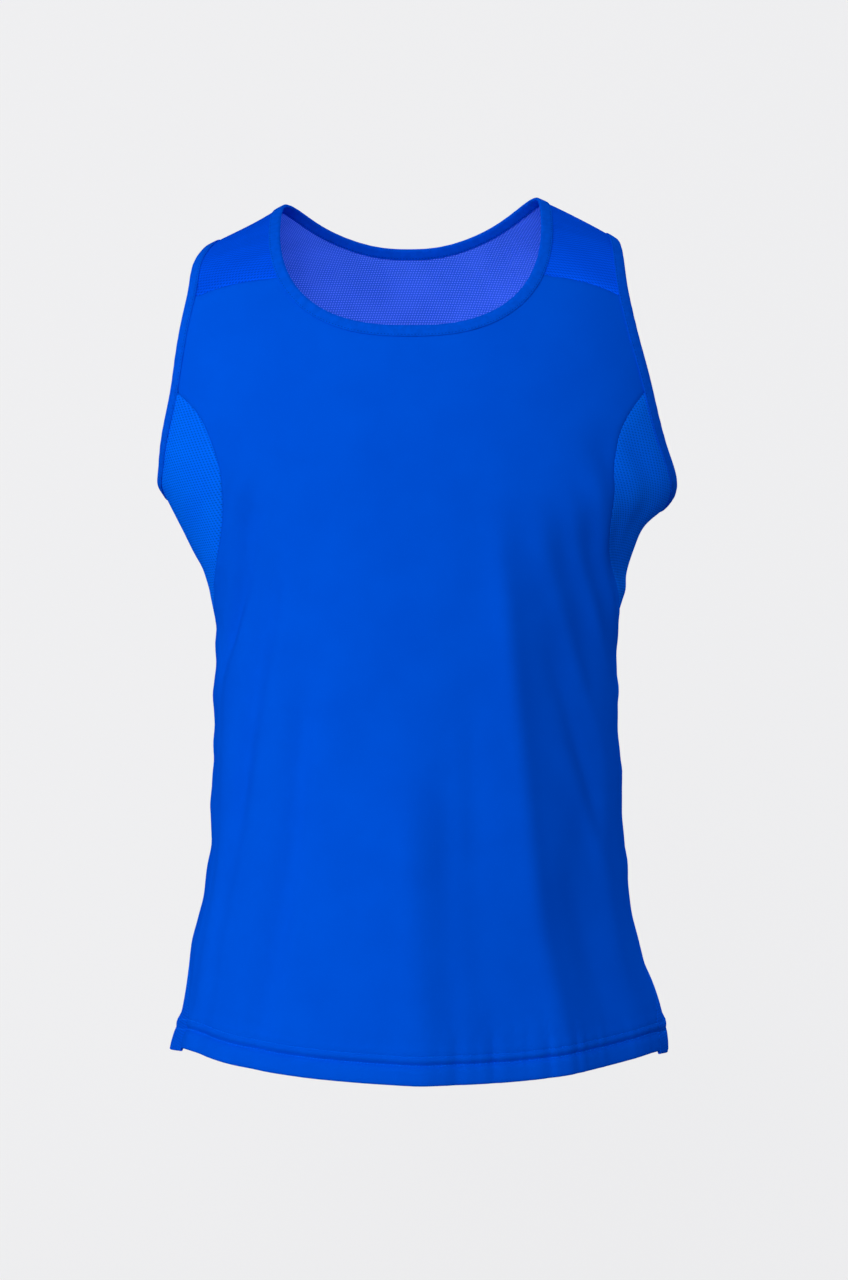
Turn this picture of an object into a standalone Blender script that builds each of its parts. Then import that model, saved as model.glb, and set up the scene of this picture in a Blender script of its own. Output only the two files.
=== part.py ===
"""Sleeveless sports singlet: a smooth knitted front, a mesh back that runs over the shoulders, two mesh side
inserts, folded tape round the neck and the armholes, and a turned-up hem.

The cloth keeps its worn, hollow form. Lengths are in metres, +Z is up and the front faces -Y. The origin lies
between the shoulders, where the straps rest. The wearer's right is -X and the wearer's left is +X.
"""
import bmesh
import bpy
import numpy as np

MM = 0.001

# Cloth and seams
WALL = 1.1 * MM                 # thickness of the knitted panels
SEAM_GAP = 0.3 * MM             # between neighbouring pieces
TAPE = 1.0 * MM                 # thickness of one leaf of the folded tape
BINDING_WIDTH = 8.5 * MM        # tape, from its fold to its free edges
TUCK = 1.5 * MM                 # raw panel edge, back from the tape's fold
HEM_TURN = 24.0 * MM            # depth of the turned-up hem
HEM_BEND = 0.8 * MM             # radius of the hem's fold
WELD = 0.01 * MM                # points nearer than this are one point

# Body form: level rings from the top of the neck to below the hem. Each has a half width on the wearer's right
# and left, and a reach to the front and to the back, in millimetres.
RING_COLUMNS = ("height", "right", "left", "front", "back")
RINGS = (
    (30, 70, 74, 16, 26),
    (16, 106, 106, 30, 42),
    (0, 134, 138, 46, 58),
    (-18, 169, 169, 60, 72),
    (-38, 202, 189, 73, 83),
    (-64, 219, 201, 87, 94),
    (-90, 226, 207, 99, 102),
    (-148, 227, 216, 114, 114),
    (-195, 223, 218, 119, 117),
    (-226, 214, 217, 120, 116),
    (-252, 201, 199, 120, 114),
    (-280, 187, 180, 120, 112),
    (-312, 174, 173, 120, 109),
    (-350, 170, 169, 120, 106),
    (-450, 172, 171, 120, 105),
    (-550, 178, 177, 124, 112),
    (-620, 191, 192, 127, 121),
    (-668, 199, 207, 130, 127),
    (-700, 208, 211, 132, 130),
    (-730, 212, 214, 134, 133),
)
ROUNDNESS = 2.2                 # exponent of each ring's outline, where 2 is an ellipse
CORE_HEIGHT = -250.0 * MM       # above this level, the form is seen from this one point on the middle line
SHOULDER_FLOOR = -150.0 * MM    # the levels between which the shoulders lie
SHOULDER_ROOF = 29.0 * MM

# Neckline, as its finished edge: the front half as seen from the front, the back half as seen from above
NECK_CENTRE = -6.0 * MM
NECK_HALF_WIDTH = 108.0 * MM
NECK_WIDEST = {-1: -4.0 * MM, 1: 1.0 * MM}      # height of the widest point, on either side
NECK_FRONT_HEIGHT = -101.0 * MM
NECK_BACK_REACH = 68.0 * MM
NECK_FRONT_CURVE = 2.55             # exponent of the front scoop
NECK_BACK_CURVE = 2.25              # exponent of the back
NECK_SEAM = 64.0                    # forward shoulder seam, degrees round from the front centre

# Armholes, as their finished edges seen from the side, with the side of the body and their top and bottom
ARM_FRONT_REACH = 60.0 * MM
ARM_BACK_REACH = 70.0 * MM
ARMS = (
    ("right", -1, -20.0 * MM, -226.0 * MM),
    ("left", 1, -16.0 * MM, -236.0 * MM),
)
ARM_SHOULDER_SEAM = 60.0            # degrees round from the top, over the front
ARM_FRONT_SEAM = {"right": 102.5, "left": 98.5}
ARM_BACK_SEAM = 256.0

# Where the back panel's straps begin, behind the ridge of the shoulder
ARM_STRAP = 338.0
NECK_STRAP = 130.0

# Side inserts: how far round from the front centre their two seams lie, in degrees, at heights in millimetres
SIDE_COLUMNS = ("height", "front", "back")
SIDE_SEAMS = (
    (-165, 51.6, 127),
    (-180, 48.0, 128),
    (-197, 46.0, 129),
    (-218, 45.3, 129),
    (-240, 48.2, 128),
    (-260, 52.9, 126),
    (-278, 59.0, 123),
    (-296, 67.0, 118),
    (-315, 77.0, 114),
    (-340, 86.0, 110),
    (-380, 90.0, 108),
    (-500, 91.0, 108),
    (-600, 88.0, 108),
    (-640, 80.0, 107),
    (-675, 70.0, 106),
)

# Hem: its lower edge on the wearer's right and left, in millimetres, at degrees round from the front centre
HEM_COLUMNS = ("turn", "right", "left")
HEM_LINE = (
    (0, -702, -702),
    (22, -698, -700),
    (38, -694, -696),
    (52, -690, -693),
    (70, -687, -690),
    (92, -694, -695),
    (110, -695, -695),
    (140, -698, -698),
    (180, -700, -700),
)

# Largest folds: soft troughs (a positive depth) and ridges that run down the cloth. Each has its top and bottom,
# its turn at the top and at the bottom, the bend of the way between them, its width in degrees, its depth, and
# the share of that depth that is left at the bottom.
FOLDS = (
    (-215, -400, -36, -74, 1.0, 5, 3.5, 0.3),
    (-215, -560, -30, -62, 0.6, 5, 4.0, 0.4),
    (-330, -700, -29, -40, 1.0, 5, 3.0, 0.7),
    (-380, -720, 9, 12, 1.0, 6, 2.5, 1.0),
    (-200, -720, 15, 31, 0.6, 8, -3.5, 0.8),
    (-230, -720, 45, 58, 1.0, 16, 7.5, 1.0),
    (-165, -330, 45, 86, 1.0, 7, 4.5, 0.3),
    (-230, -720, -158, -165, 1.0, 9, 4.5, 0.9),
    (-270, -720, 176, 178, 1.0, 8, -3.5, 0.8),
    (-230, -700, 150, 152, 1.0, 9, 4.5, 0.8),
    (-280, -690, -122, -130, 1.0, 7, 4.0, 0.6),
    (-300, -690, 124, 128, 1.0, 7, 4.0, 0.6),
)
FOLD_RISE = 0.3                 # share of a fold's length over which it grows to its full depth

# Grid of each panel
STRAP_COLUMNS = 5
NECK_COLUMNS = 16
BACK_NECK_COLUMNS = 14
SEAM_ROWS = 15
ARM_ROWS = 5
BACK_ARM_ROWS = 7
STRAP_ROWS = 8
SIDE_PANEL_COLUMNS = 9
HEM_ROWS = 1
STEP_DEGREES = 0.25             # spacing of the dense curves that edges are read from
BUNCHING = 1.5                  # how much the rows of a side seam close up towards the armhole
LEVELLING = 4                   # how fast the rows below an armhole turn level and even

# Colours, roughness and sheen of the cloth
FRONT_BLUE = (0.005, 0.075, 0.70)
MESH_BLUE = (0.008, 0.095, 0.75)
TAPE_BLUE = (0.004, 0.085, 0.66)


def spline(knots, values):
    """Natural cubic through a table's rows, as a function of height or turn."""
    order = np.argsort(knots)
    knots = np.asarray(knots, float)[order]
    values = np.asarray(values, float)[order]
    step = np.diff(knots)
    rise = np.diff(values) / step
    count = len(knots)
    system = np.zeros((count, count))
    target = np.zeros(count)
    for i in range(1, count - 1):
        system[i, i - 1:i + 2] = 1 / step[i - 1], 2 / step[i - 1] + 2 / step[i], 1 / step[i]
        target[i] = 3 * (rise[i - 1] / step[i - 1] + rise[i] / step[i])
    system[0, :2] = 2, 1
    target[0] = 3 * rise[0]
    system[-1, -2:] = 1, 2
    target[-1] = 3 * rise[-1]
    slope = np.linalg.solve(system, target)

    def curve(x):
        x = np.clip(x, knots[0], knots[-1])
        i = np.clip(np.searchsorted(knots, x) - 1, 0, count - 2)
        t = (x - knots[i]) / step[i]
        start = values[i] * (1 + 2 * t) * (1 - t) ** 2 + slope[i] * step[i] * t * (1 - t) ** 2
        end = values[i + 1] * t * t * (3 - 2 * t) + slope[i + 1] * step[i] * t * t * (t - 1)
        return start + end
    return curve


def table_curves(columns, rows, units):
    """One smooth curve for each column of a table after the first, against that first column."""
    data = np.array(rows, float) * units
    return {name: spline(data[:, 0], data[:, i]) for i, name in enumerate(columns) if i}


RING = table_curves(RING_COLUMNS, RINGS, MM)
SIDE_SEAM = table_curves(SIDE_COLUMNS, SIDE_SEAMS, (MM, 1, 1))
HEM = table_curves(HEM_COLUMNS, HEM_LINE, (1, MM, MM))


# The body form

def half_width(height, side):
    return np.where(side < 0, RING["right"](height), RING["left"](height))


def reach(height, y):
    return np.where(y < 0, RING["front"](height), RING["back"](height))


def other_share(share):
    """Where one coordinate has this share of its ring's reach, the share that the other has."""
    return np.clip(1 - np.abs(share) ** ROUNDNESS, 0, None) ** (1 / ROUNDNESS)


def fullness(points):
    """1 on the form, less inside it and more outside."""
    x, y, z = points.T
    return np.abs(x / half_width(z, x)) ** ROUNDNESS + np.abs(y / reach(z, y)) ** ROUNDNESS


def ring_points(turns, heights):
    """Points of the form at degrees round from the front centre."""
    angle = np.radians(turns)
    x = np.sign(np.sin(angle)) * np.abs(np.sin(angle)) ** (2 / ROUNDNESS)
    y = -np.sign(np.cos(angle)) * np.abs(np.cos(angle)) ** (2 / ROUNDNESS)
    return np.column_stack((x * half_width(heights, x), y * reach(heights, y), heights))


def turns_of(points):
    """Degrees round from the front centre, as ring_points takes them."""
    x, y, z = points.T
    across = np.abs(x / half_width(z, x)) ** (ROUNDNESS / 2)
    ahead = np.abs(y / reach(z, y)) ** (ROUNDNESS / 2)
    return np.degrees(np.arctan2(np.sign(x) * across, -np.sign(y) * ahead))


def drape(points):
    """Move points straight out from the torso's middle until they lie on the form."""
    core = np.zeros_like(points)
    core[:, 2] = np.minimum(points[:, 2], CORE_HEIGHT)
    ray = points - core
    low = np.full(len(points), 0.2)
    high = np.full(len(points), 4.0)
    for _ in range(44):
        middle = (low + high) / 2
        outside = fullness(core + middle[:, None] * ray) > 1
        high = np.where(outside, middle, high)
        low = np.where(outside, low, middle)
    return core + low[:, None] * ray


def outward(points):
    """Unit normals of the form."""
    probe = 0.2 * MM
    slopes = [fullness(points + probe * axis) - fullness(points - probe * axis) for axis in np.eye(3)]
    normals = np.column_stack(slopes)
    return normals / np.linalg.norm(normals, axis=1, keepdims=True)


def hem_height(turns):
    turns = (turns + 180) % 360 - 180
    return np.where(turns < 0, HEM["right"](-turns), HEM["left"](turns))


def ease(t):
    t = np.clip(t, 0, 1)
    return t * t * (3 - 2 * t)


def fold_height(points):
    """How far the folds lift the cloth off the form, which is negative in a trough."""
    height = points[:, 2] / MM
    turn = turns_of(points)
    lift = np.zeros(len(points))
    for top, bottom, turn_top, turn_bottom, bend, width, depth, tail in FOLDS:
        along = (top - height) / (top - bottom)
        middle = turn_top + (turn_bottom - turn_top) * np.clip(along, 0, 1) ** bend
        aside = (turn - middle + 180) % 360 - 180
        strength = ease(along / FOLD_RISE) * (1 + (tail - 1) * ease((along - 1 + FOLD_RISE) / FOLD_RISE))
        lift -= depth * MM * strength * np.exp(-(aside / width) ** 2)
    return lift


def cloth(points, out=0.0):
    """Points of the cloth's middle surface over the form, or that far out from it."""
    base = drape(np.asarray(points, float).reshape(-1, 3))
    return base + outward(base) * (fold_height(base) + out)[:, None]


# Edges and seams

class Edge:
    """A dense curve on the form, and the lines that run beside it."""

    def __init__(self, points, inward):
        self.points = points
        self.inward = inward        # +1 or -1, for the side on which distances are positive

    def beside(self, distance):
        along = np.gradient(self.points, axis=0)
        aside = np.cross(outward(self.points), along)
        aside /= np.linalg.norm(aside, axis=1, keepdims=True)
        return drape(self.points + aside * distance * self.inward)

    def stations(self, start, end, count, trim=0.0, bunching=1.0):
        """Places on the curve between two of its points and that far short of each, closing up if so asked."""
        steps = np.linalg.norm(np.diff(self.points, axis=0), axis=1)
        travelled = np.concatenate(([0.0], np.cumsum(steps)))
        index = np.arange(len(self.points))
        first, last = np.interp((start, end), index, travelled)
        share = 1 - np.linspace(1, 0, count + 1) ** bunching
        return np.interp(first + trim + (last - first - 2 * trim) * share, travelled, index)

    def line(self, distance, stations):
        """The points at these stations of the line that runs at this distance beside the curve."""
        beside = self.beside(distance)
        index = np.arange(len(beside))
        return np.column_stack([np.interp(stations, index, values) for values in beside.T])


class Loop(Edge):
    """An edge that is known by its angle."""

    def __init__(self, shape, start, end, inward):
        angles = np.arange(start, end + STEP_DEGREES, STEP_DEGREES)
        super().__init__(shape(angles), inward)
        self.start = start

    def between(self, start, end, count, trim=0.0):
        return self.stations((start - self.start) / STEP_DEGREES, (end - self.start) / STEP_DEGREES, count, trim)


def height_over(x, y):
    """Height of the form over a point of its plan, near the shoulders."""
    low = np.full(len(x), SHOULDER_FLOOR)
    high = np.full(len(x), SHOULDER_ROOF)
    for _ in range(44):
        middle = (low + high) / 2
        outside = fullness(np.column_stack((x, y, middle))) > 1
        high = np.where(outside, middle, high)
        low = np.where(outside, low, middle)
    return low


def neckline(angles):
    """Finished neck edge: 0 at the front centre, 90 on the wearer's left shoulder, 180 at the back."""
    across = np.sin(np.radians(angles))
    ahead = np.cos(np.radians(angles))
    curve = np.where(ahead >= 0, NECK_FRONT_CURVE, NECK_BACK_CURVE)
    x = NECK_CENTRE + NECK_HALF_WIDTH * np.sign(across) * np.abs(across) ** (2 / curve)
    widest_x = NECK_CENTRE + NECK_HALF_WIDTH * np.where(across < 0, -1, 1)
    widest_z = np.where(across < 0, NECK_WIDEST[-1], NECK_WIDEST[1])
    widest_y = -reach(widest_z, -1) * other_share(widest_x / half_width(widest_z, across))
    fall = np.abs(ahead) ** (2 / curve)
    front_z = widest_z + (NECK_FRONT_HEIGHT - widest_z) * fall
    front_y = -reach(front_z, -1) * other_share(x / half_width(front_z, x))
    back_y = widest_y + (NECK_BACK_REACH - widest_y) * fall
    back_z = height_over(x, back_y)
    y = np.where(ahead >= 0, front_y, back_y)
    z = np.where(ahead >= 0, front_z, back_z)
    return np.column_stack((x, y, z))


def armhole(side, top, bottom):
    """Finished armhole edge: 0 on top of the shoulder, 90 at the front, 180 under the arm, 270 at the back."""
    def shape(angles):
        ahead = np.sin(np.radians(angles))
        y = -ahead * np.where(ahead > 0, ARM_FRONT_REACH, ARM_BACK_REACH)
        z = (top + bottom) / 2 + (top - bottom) / 2 * np.cos(np.radians(angles))
        x = side * half_width(z, side) * other_share(y / reach(z, y))
        return np.column_stack((x, y, z))
    return shape


NECK = Loop(neckline, -90, 450, -1)
ARM = {name: Loop(armhole(side, top, bottom), 0, 450, -side) for name, side, top, bottom in ARMS}
SIDE = {name: side for name, side, top, bottom in ARMS}


def side_seam(name, column, arm_angle):
    """The seam of a side insert, from the top of the hem up to the armhole; positive distances lie to the front."""
    side = SIDE[name]
    head = ARM[name].line(0, ARM[name].between(arm_angle, arm_angle, 0))
    foot = hem_height(side * SIDE_SEAM[column](SIDE_SEAMS[-1][0] * MM)) + HEM_TURN
    table = np.array(SIDE_SEAMS, float)
    heights = np.concatenate(([head[0, 2]], table[:, 0] * MM))
    turns = np.concatenate((np.abs(turns_of(head)), table[:, SIDE_COLUMNS.index(column)]))
    steps = np.linspace(foot, head[0, 2], 600)
    return Edge(ring_points(side * spline(heights, turns)(steps), steps), side)


FRONT_SEAM = {name: side_seam(name, "front", ARM_FRONT_SEAM[name]) for name in SIDE}
BACK_SEAM = {name: side_seam(name, "back", ARM_BACK_SEAM) for name in SIDE}
BOUND = BINDING_WIDTH + SEAM_GAP    # from a bound edge to the first free line of the panel


# Grids

def between(start, end, count):
    """Points on the form from one point to another, both included."""
    share = np.linspace(0, 1, count + 1)[:, None]
    return drape(np.asarray(start) * (1 - share) + np.asarray(end) * share)


def shares(first, second):
    """Running share of the length along two opposite sides, on average."""
    total = 0
    for points in (first, second):
        travelled = np.concatenate(([0.0], np.cumsum(np.linalg.norm(np.diff(points, axis=0), axis=1))))
        total = total + travelled / travelled[-1] / 2
    return total


def span(bottom, top, left, right):
    """Grid of rows between four sides that meet at their corners, laid on the form."""
    u = shares(bottom, top)[None, :, None]
    v = shares(left, right)[:, None, None]
    corners = (1 - v) * ((1 - u) * bottom[0] + u * bottom[-1]) + v * ((1 - u) * top[0] + u * top[-1])
    grid = (1 - v) * bottom + v * top + (1 - u) * left[:, None] + u * right[:, None] - corners
    grid = drape(grid.reshape(-1, 3)).reshape(grid.shape)
    grid[0], grid[-1], grid[:, 0], grid[:, -1] = bottom, top, left, right
    return grid


def bound_strip(edge, stations):
    """The part of a panel that lies inside the tape, along a bound edge."""
    return np.array([edge.line(BOUND, stations), edge.line(TUCK, stations)])


def seam_side(seam, distance, arm, arm_station):
    """One side of a side seam up to the armhole's tape, where it ends at the panel's corner."""
    tape_edge = arm.beside(BOUND)
    clearance = [np.linalg.norm(tape_edge - point, axis=1).min() for point in seam.points]
    stations = seam.stations(0, np.argmin(clearance), SEAM_ROWS, bunching=BUNCHING)
    line = seam.line(distance, stations)
    line[-1] = arm.line(BOUND, arm_station)[0]
    return line


def hem_line(turns, above=0.0):
    """Points on the form along the hem's lower edge, or that far above it."""
    return ring_points(turns, hem_height(turns) + above)


def hem_rows(top):
    """Rows of the hem below its top line: down the outside, round the fold, and up the inside."""
    turns = turns_of(top)
    lowest = hem_height(turns)
    rows = []
    for i in range(HEM_ROWS + 1):
        share = i / HEM_ROWS
        rows.append(cloth(ring_points(turns, top[:, 2] * (1 - share) + (lowest + HEM_BEND) * share)))
    rows.append(cloth(ring_points(turns, lowest), -HEM_BEND))
    for i in range(HEM_ROWS, -1, -1):
        share = i / HEM_ROWS
        inside = ring_points(turns, top[:, 2] * (1 - share) + (lowest + HEM_BEND) * share)
        rows.append(cloth(inside, -2 * HEM_BEND))
    return np.array(rows)


def on_cloth(grid):
    grid = np.asarray(grid)
    return cloth(grid.reshape(-1, 3)).reshape(grid.shape)


# Panels, each as a list of grids that share their borders

def turns_from(start, points):
    """Turns of points, counted on from a first turn without a jump."""
    return start + (turns_of(points) - start + 180) % 360 - 180


def climb(left, right, top):
    """Grid from the hem's top line between two seams up to a line that ends at the seams' upper ends."""
    start = turns_of(left[:1])[0]
    left_turns = turns_from(start, left)
    right_turns = turns_from(start, right)
    even = np.linspace(0, 1, len(top))
    bottom = hem_line(left_turns[0] + (right_turns[0] - left_turns[0]) * even, HEM_TURN)

    def seam_turns(heights):
        return np.interp(heights, left[:, 2], left_turns), np.interp(heights, right[:, 2], right_turns)

    first, last = seam_turns(top[:, 2])
    uneven = (turns_from(start, top) - first) / (last - first)
    grid = np.empty((len(left), len(top), 3))
    for i, part in enumerate(even):
        level = left[:, 2] * (1 - part) + right[:, 2] * part
        rise = (level - level[0]) / (level[-1] - level[0])
        heights = level + (bottom[i, 2] - level[0]) * (1 - rise) + (top[i, 2] - level[-1]) * rise ** LEVELLING
        first, last = seam_turns(heights)
        share = part + (uneven[i] - part) * rise ** LEVELLING
        grid[:, i] = ring_points(first + (last - first) * share, heights)
    grid[:, 0], grid[:, -1], grid[0], grid[-1] = left, right, bottom, top
    return grid


def torso_panel(left, right, left_arm, right_arm, scoop):
    """The body of the front or the back: from the hem to a level line under the arms, and on to the shoulders."""
    top = np.concatenate((
        between(left_arm[-1], scoop[0], STRAP_COLUMNS),
        scoop[1:],
        between(scoop[-1], right_arm[-1], STRAP_COLUMNS)[1:]))
    start = turns_of(left[:1])[0]
    ends = turns_from(start, np.array((left_arm[0], right_arm[0])))
    share = shares(top, top)
    chest = ring_points(
        ends[0] + (ends[1] - ends[0]) * share,
        left_arm[0, 2] + (right_arm[0, 2] - left_arm[0, 2]) * share)
    chest[0], chest[-1] = left_arm[0], right_arm[0]
    lower = climb(left, right, chest)
    return [on_cloth(lower), on_cloth(span(chest, top, left_arm, right_arm)), hem_rows(lower[0])]


def front_panel():
    trim = SEAM_GAP / 2
    neck = NECK.between(-NECK_SEAM, NECK_SEAM, NECK_COLUMNS, trim)
    seams = {}
    arms = {}
    for name in SIDE:
        arms[name] = ARM[name].between(ARM_SHOULDER_SEAM, ARM_FRONT_SEAM[name], ARM_ROWS, trim)[::-1]
        seams[name] = seam_side(FRONT_SEAM[name], trim, ARM[name], arms[name][:1])
    edges = [ARM[name].line(BOUND, arms[name]) for name in ("right", "left")]
    grids = torso_panel(seams["right"], seams["left"], *edges, NECK.line(BOUND, neck))
    strips = [bound_strip(NECK, neck)] + [bound_strip(ARM[name], arms[name]) for name in SIDE]
    return grids + [on_cloth(strip) for strip in strips]


def back_panel():
    """The back runs up behind the shoulders and, as two straps, over them to the forward seams."""
    trim = SEAM_GAP / 2
    neck = NECK.between(NECK_STRAP, 360 - NECK_STRAP, BACK_NECK_COLUMNS)
    collar = {
        "left": NECK.between(NECK_STRAP, NECK_SEAM, STRAP_ROWS),
        "right": NECK.between(360 - NECK_STRAP, 360 - NECK_SEAM, STRAP_ROWS),
    }
    collar["left"][-1] = NECK.between(NECK_SEAM, NECK_STRAP, 1, trim)[0]
    collar["right"][-1] = NECK.between(360 - NECK_STRAP, 360 - NECK_SEAM, 1, trim)[1]
    seams = {}
    arms = {}
    straps = []
    for name in SIDE:
        arms[name] = ARM[name].between(ARM_BACK_SEAM, ARM_STRAP, BACK_ARM_ROWS)
        arms[name][0] = ARM[name].between(ARM_BACK_SEAM, ARM_STRAP, 1, trim)[0]
        over = ARM[name].between(ARM_STRAP, 360 + ARM_SHOULDER_SEAM, STRAP_ROWS)
        over[-1] = ARM[name].between(ARM_STRAP, 360 + ARM_SHOULDER_SEAM, 1, trim)[1]
        seams[name] = seam_side(BACK_SEAM[name], -trim, ARM[name], arms[name][:1])
        outer = ARM[name].line(BOUND, over)
        inner = NECK.line(BOUND, collar[name])
        straps.append([between(start, end, STRAP_COLUMNS) for start, end in zip(outer, inner)])
        straps.append(bound_strip(ARM[name], np.concatenate((arms[name], over[1:]))))
    edges = [ARM[name].line(BOUND, arms[name]) for name in ("left", "right")]
    grids = torso_panel(seams["left"], seams["right"], *edges, NECK.line(BOUND, neck))
    whole = np.concatenate((collar["left"][::-1], neck[1:-1], collar["right"]))
    return grids + [on_cloth(grid) for grid in straps + [bound_strip(NECK, whole)]]


def side_panel(name):
    trim = SEAM_GAP / 2
    arm = ARM[name].between(ARM_FRONT_SEAM[name], ARM_BACK_SEAM, SIDE_PANEL_COLUMNS, trim)
    front = seam_side(FRONT_SEAM[name], -trim, ARM[name], arm[:1])
    back = seam_side(BACK_SEAM[name], trim, ARM[name], arm[-1:])
    body = climb(front, back, ARM[name].line(BOUND, arm))
    return [on_cloth(body), hem_rows(body[0]), on_cloth(bound_strip(ARM[name], arm))]


def binding(edge, stations):
    """Folded tape: two leaves either side of the panel's raw edge, joined by the fold on the finished edge."""
    inner = WALL / 2 + SEAM_GAP
    outer = inner + TAPE
    section = (
        (BINDING_WIDTH, outer),
        (0.0, outer),
        (0.0, -outer),
        (BINDING_WIDTH, -outer),
        (BINDING_WIDTH, -inner),
        (TUCK - SEAM_GAP, -inner),
        (TUCK - SEAM_GAP, inner),
        (BINDING_WIDTH, inner),
    )
    return [(distance, cloth(edge.line(distance, stations), out)) for distance, out in section]


# Solids

def add_grid(mesh, rows):
    """Lay a grid of triangles through rows of points. Every grid is split along the same diagonal."""
    rows = np.asarray(rows)
    down, across = rows.shape[0] - 1, rows.shape[1] - 1
    grid = bmesh.ops.create_grid(mesh, x_segments=across, y_segments=down, size=1.0)
    faces = {}
    for vert in grid["verts"]:
        row = round((vert.co.y + 1) / 2 * down)
        column = round((vert.co.x + 1) / 2 * across)
        vert.co = rows[row, column]
        faces.update(dict.fromkeys(vert.link_faces))
    bmesh.ops.triangulate(mesh, faces=list(faces), quad_method="FIXED")


def make_object(name, mesh, material, collection):
    bmesh.ops.remove_doubles(mesh, verts=mesh.verts, dist=WELD)
    bmesh.ops.recalc_face_normals(mesh, faces=mesh.faces)
    data = bpy.data.meshes.new(name)
    mesh.to_mesh(data)
    mesh.free()
    data.materials.append(material)
    data.shade_smooth()
    piece = bpy.data.objects.new(name, data)
    collection.objects.link(piece)
    return piece


def make_panel(name, grids, material, collection):
    mesh = bmesh.new()
    for rows in grids:
        add_grid(mesh, rows)
    piece = make_object(name, mesh, material, collection)
    wall = piece.modifiers.new("cloth", "SOLIDIFY")
    wall.thickness = WALL
    wall.offset = 0
    return piece


def make_binding(name, edge, stations, material, collection):
    """A closed tube of the tape's section round the whole opening."""
    section = binding(edge, stations)
    mesh = bmesh.new()
    for pair in zip(section, section[1:] + section[:1]):
        far, near = sorted(pair, key=lambda line: -line[0])     # the order in which a panel's strip is laid
        add_grid(mesh, (far[1], near[1]))
    return make_object(name, mesh, material, collection)


def knit(name, colour, roughness):
    material = bpy.data.materials.new(name)
    material.use_nodes = True
    shader = material.node_tree.nodes["Principled BSDF"]
    shader.inputs["Base Color"].default_value = (*colour, 1)
    shader.inputs["Roughness"].default_value = roughness
    shader.inputs["Metallic"].default_value = 0
    shader.inputs["Sheen Weight"].default_value = 0.3
    return material


def neck_stations():
    front = NECK.between(-NECK_SEAM, NECK_SEAM, NECK_COLUMNS)
    left = NECK.between(NECK_SEAM, NECK_STRAP, STRAP_ROWS)
    back = NECK.between(NECK_STRAP, 360 - NECK_STRAP, BACK_NECK_COLUMNS)
    right = NECK.between(360 - NECK_STRAP, 360 - NECK_SEAM, STRAP_ROWS)
    return np.concatenate((front, left[1:], back[1:], right[1:]))


def arm_stations(name):
    front = ARM[name].between(ARM_SHOULDER_SEAM, ARM_FRONT_SEAM[name], ARM_ROWS)
    under = ARM[name].between(ARM_FRONT_SEAM[name], ARM_BACK_SEAM, SIDE_PANEL_COLUMNS)
    back = ARM[name].between(ARM_BACK_SEAM, ARM_STRAP, BACK_ARM_ROWS)
    over = ARM[name].between(ARM_STRAP, 360 + ARM_SHOULDER_SEAM, STRAP_ROWS)
    return np.concatenate((front, under[1:], back[1:], over[1:]))


def main():
    for old in list(bpy.data.objects):
        bpy.data.objects.remove(old, do_unlink=True)
    collection = bpy.data.collections.new("sports_singlet")
    bpy.context.scene.collection.children.link(collection)
    smooth = knit("front_knit", FRONT_BLUE, 0.45)
    mesh = knit("mesh_knit", MESH_BLUE, 0.6)
    tape = knit("binding_tape", TAPE_BLUE, 0.5)
    make_panel("front_panel", front_panel(), smooth, collection)
    make_panel("back_panel", back_panel(), mesh, collection)
    for name in SIDE:
        make_panel("side_panel_" + name, side_panel(name), mesh, collection)
        make_binding("armhole_binding_" + name, ARM[name], arm_stations(name), tape, collection)
    make_binding("neck_binding", NECK, neck_stations(), tape, collection)


main()
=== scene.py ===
"""Looks of a sleeveless sports singlet: knitted cloth, folded tape, seams and stitches on the frame's solids.

Lengths are in metres in the frame's axes: +Z is up, the front faces -Y, and the wearer's right is -X.
"""

import bmesh
import bpy
import numpy as np
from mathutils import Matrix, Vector
from mathutils.kdtree import KDTree


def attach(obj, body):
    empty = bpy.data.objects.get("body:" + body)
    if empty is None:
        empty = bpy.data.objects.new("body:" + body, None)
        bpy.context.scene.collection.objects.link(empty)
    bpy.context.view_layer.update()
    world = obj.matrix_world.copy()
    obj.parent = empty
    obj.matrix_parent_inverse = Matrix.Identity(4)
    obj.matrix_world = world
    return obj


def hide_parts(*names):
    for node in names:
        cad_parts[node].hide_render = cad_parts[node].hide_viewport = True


MM = 0.001

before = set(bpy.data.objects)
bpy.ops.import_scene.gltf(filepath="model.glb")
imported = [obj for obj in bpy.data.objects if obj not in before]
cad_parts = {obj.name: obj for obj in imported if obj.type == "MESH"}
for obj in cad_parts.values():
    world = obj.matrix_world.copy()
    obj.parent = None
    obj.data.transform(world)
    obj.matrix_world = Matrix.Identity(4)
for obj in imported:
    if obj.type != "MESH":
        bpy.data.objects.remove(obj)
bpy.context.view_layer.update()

# Cloth and seams, a little finer than in the solids
SEAM_GAP = 0.1 * MM             # the pieces all but touch at their seams
WALL = 0.9 * MM                 # thickness of the panels
TAPE = 0.9 * MM                 # thickness of one leaf of the folded tape
BINDING_WIDTH = 8.5 * MM        # tape, from its fold to its free edges
TUCK = 1.5 * MM                 # raw panel edge, back from the tape's fold
HEM_TURN = 24.0 * MM            # depth of the turned-up hem
HEM_BEND = 0.8 * MM             # radius of the hem's fold
WELD = 0.01 * MM                # points nearer than this are one point

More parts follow.
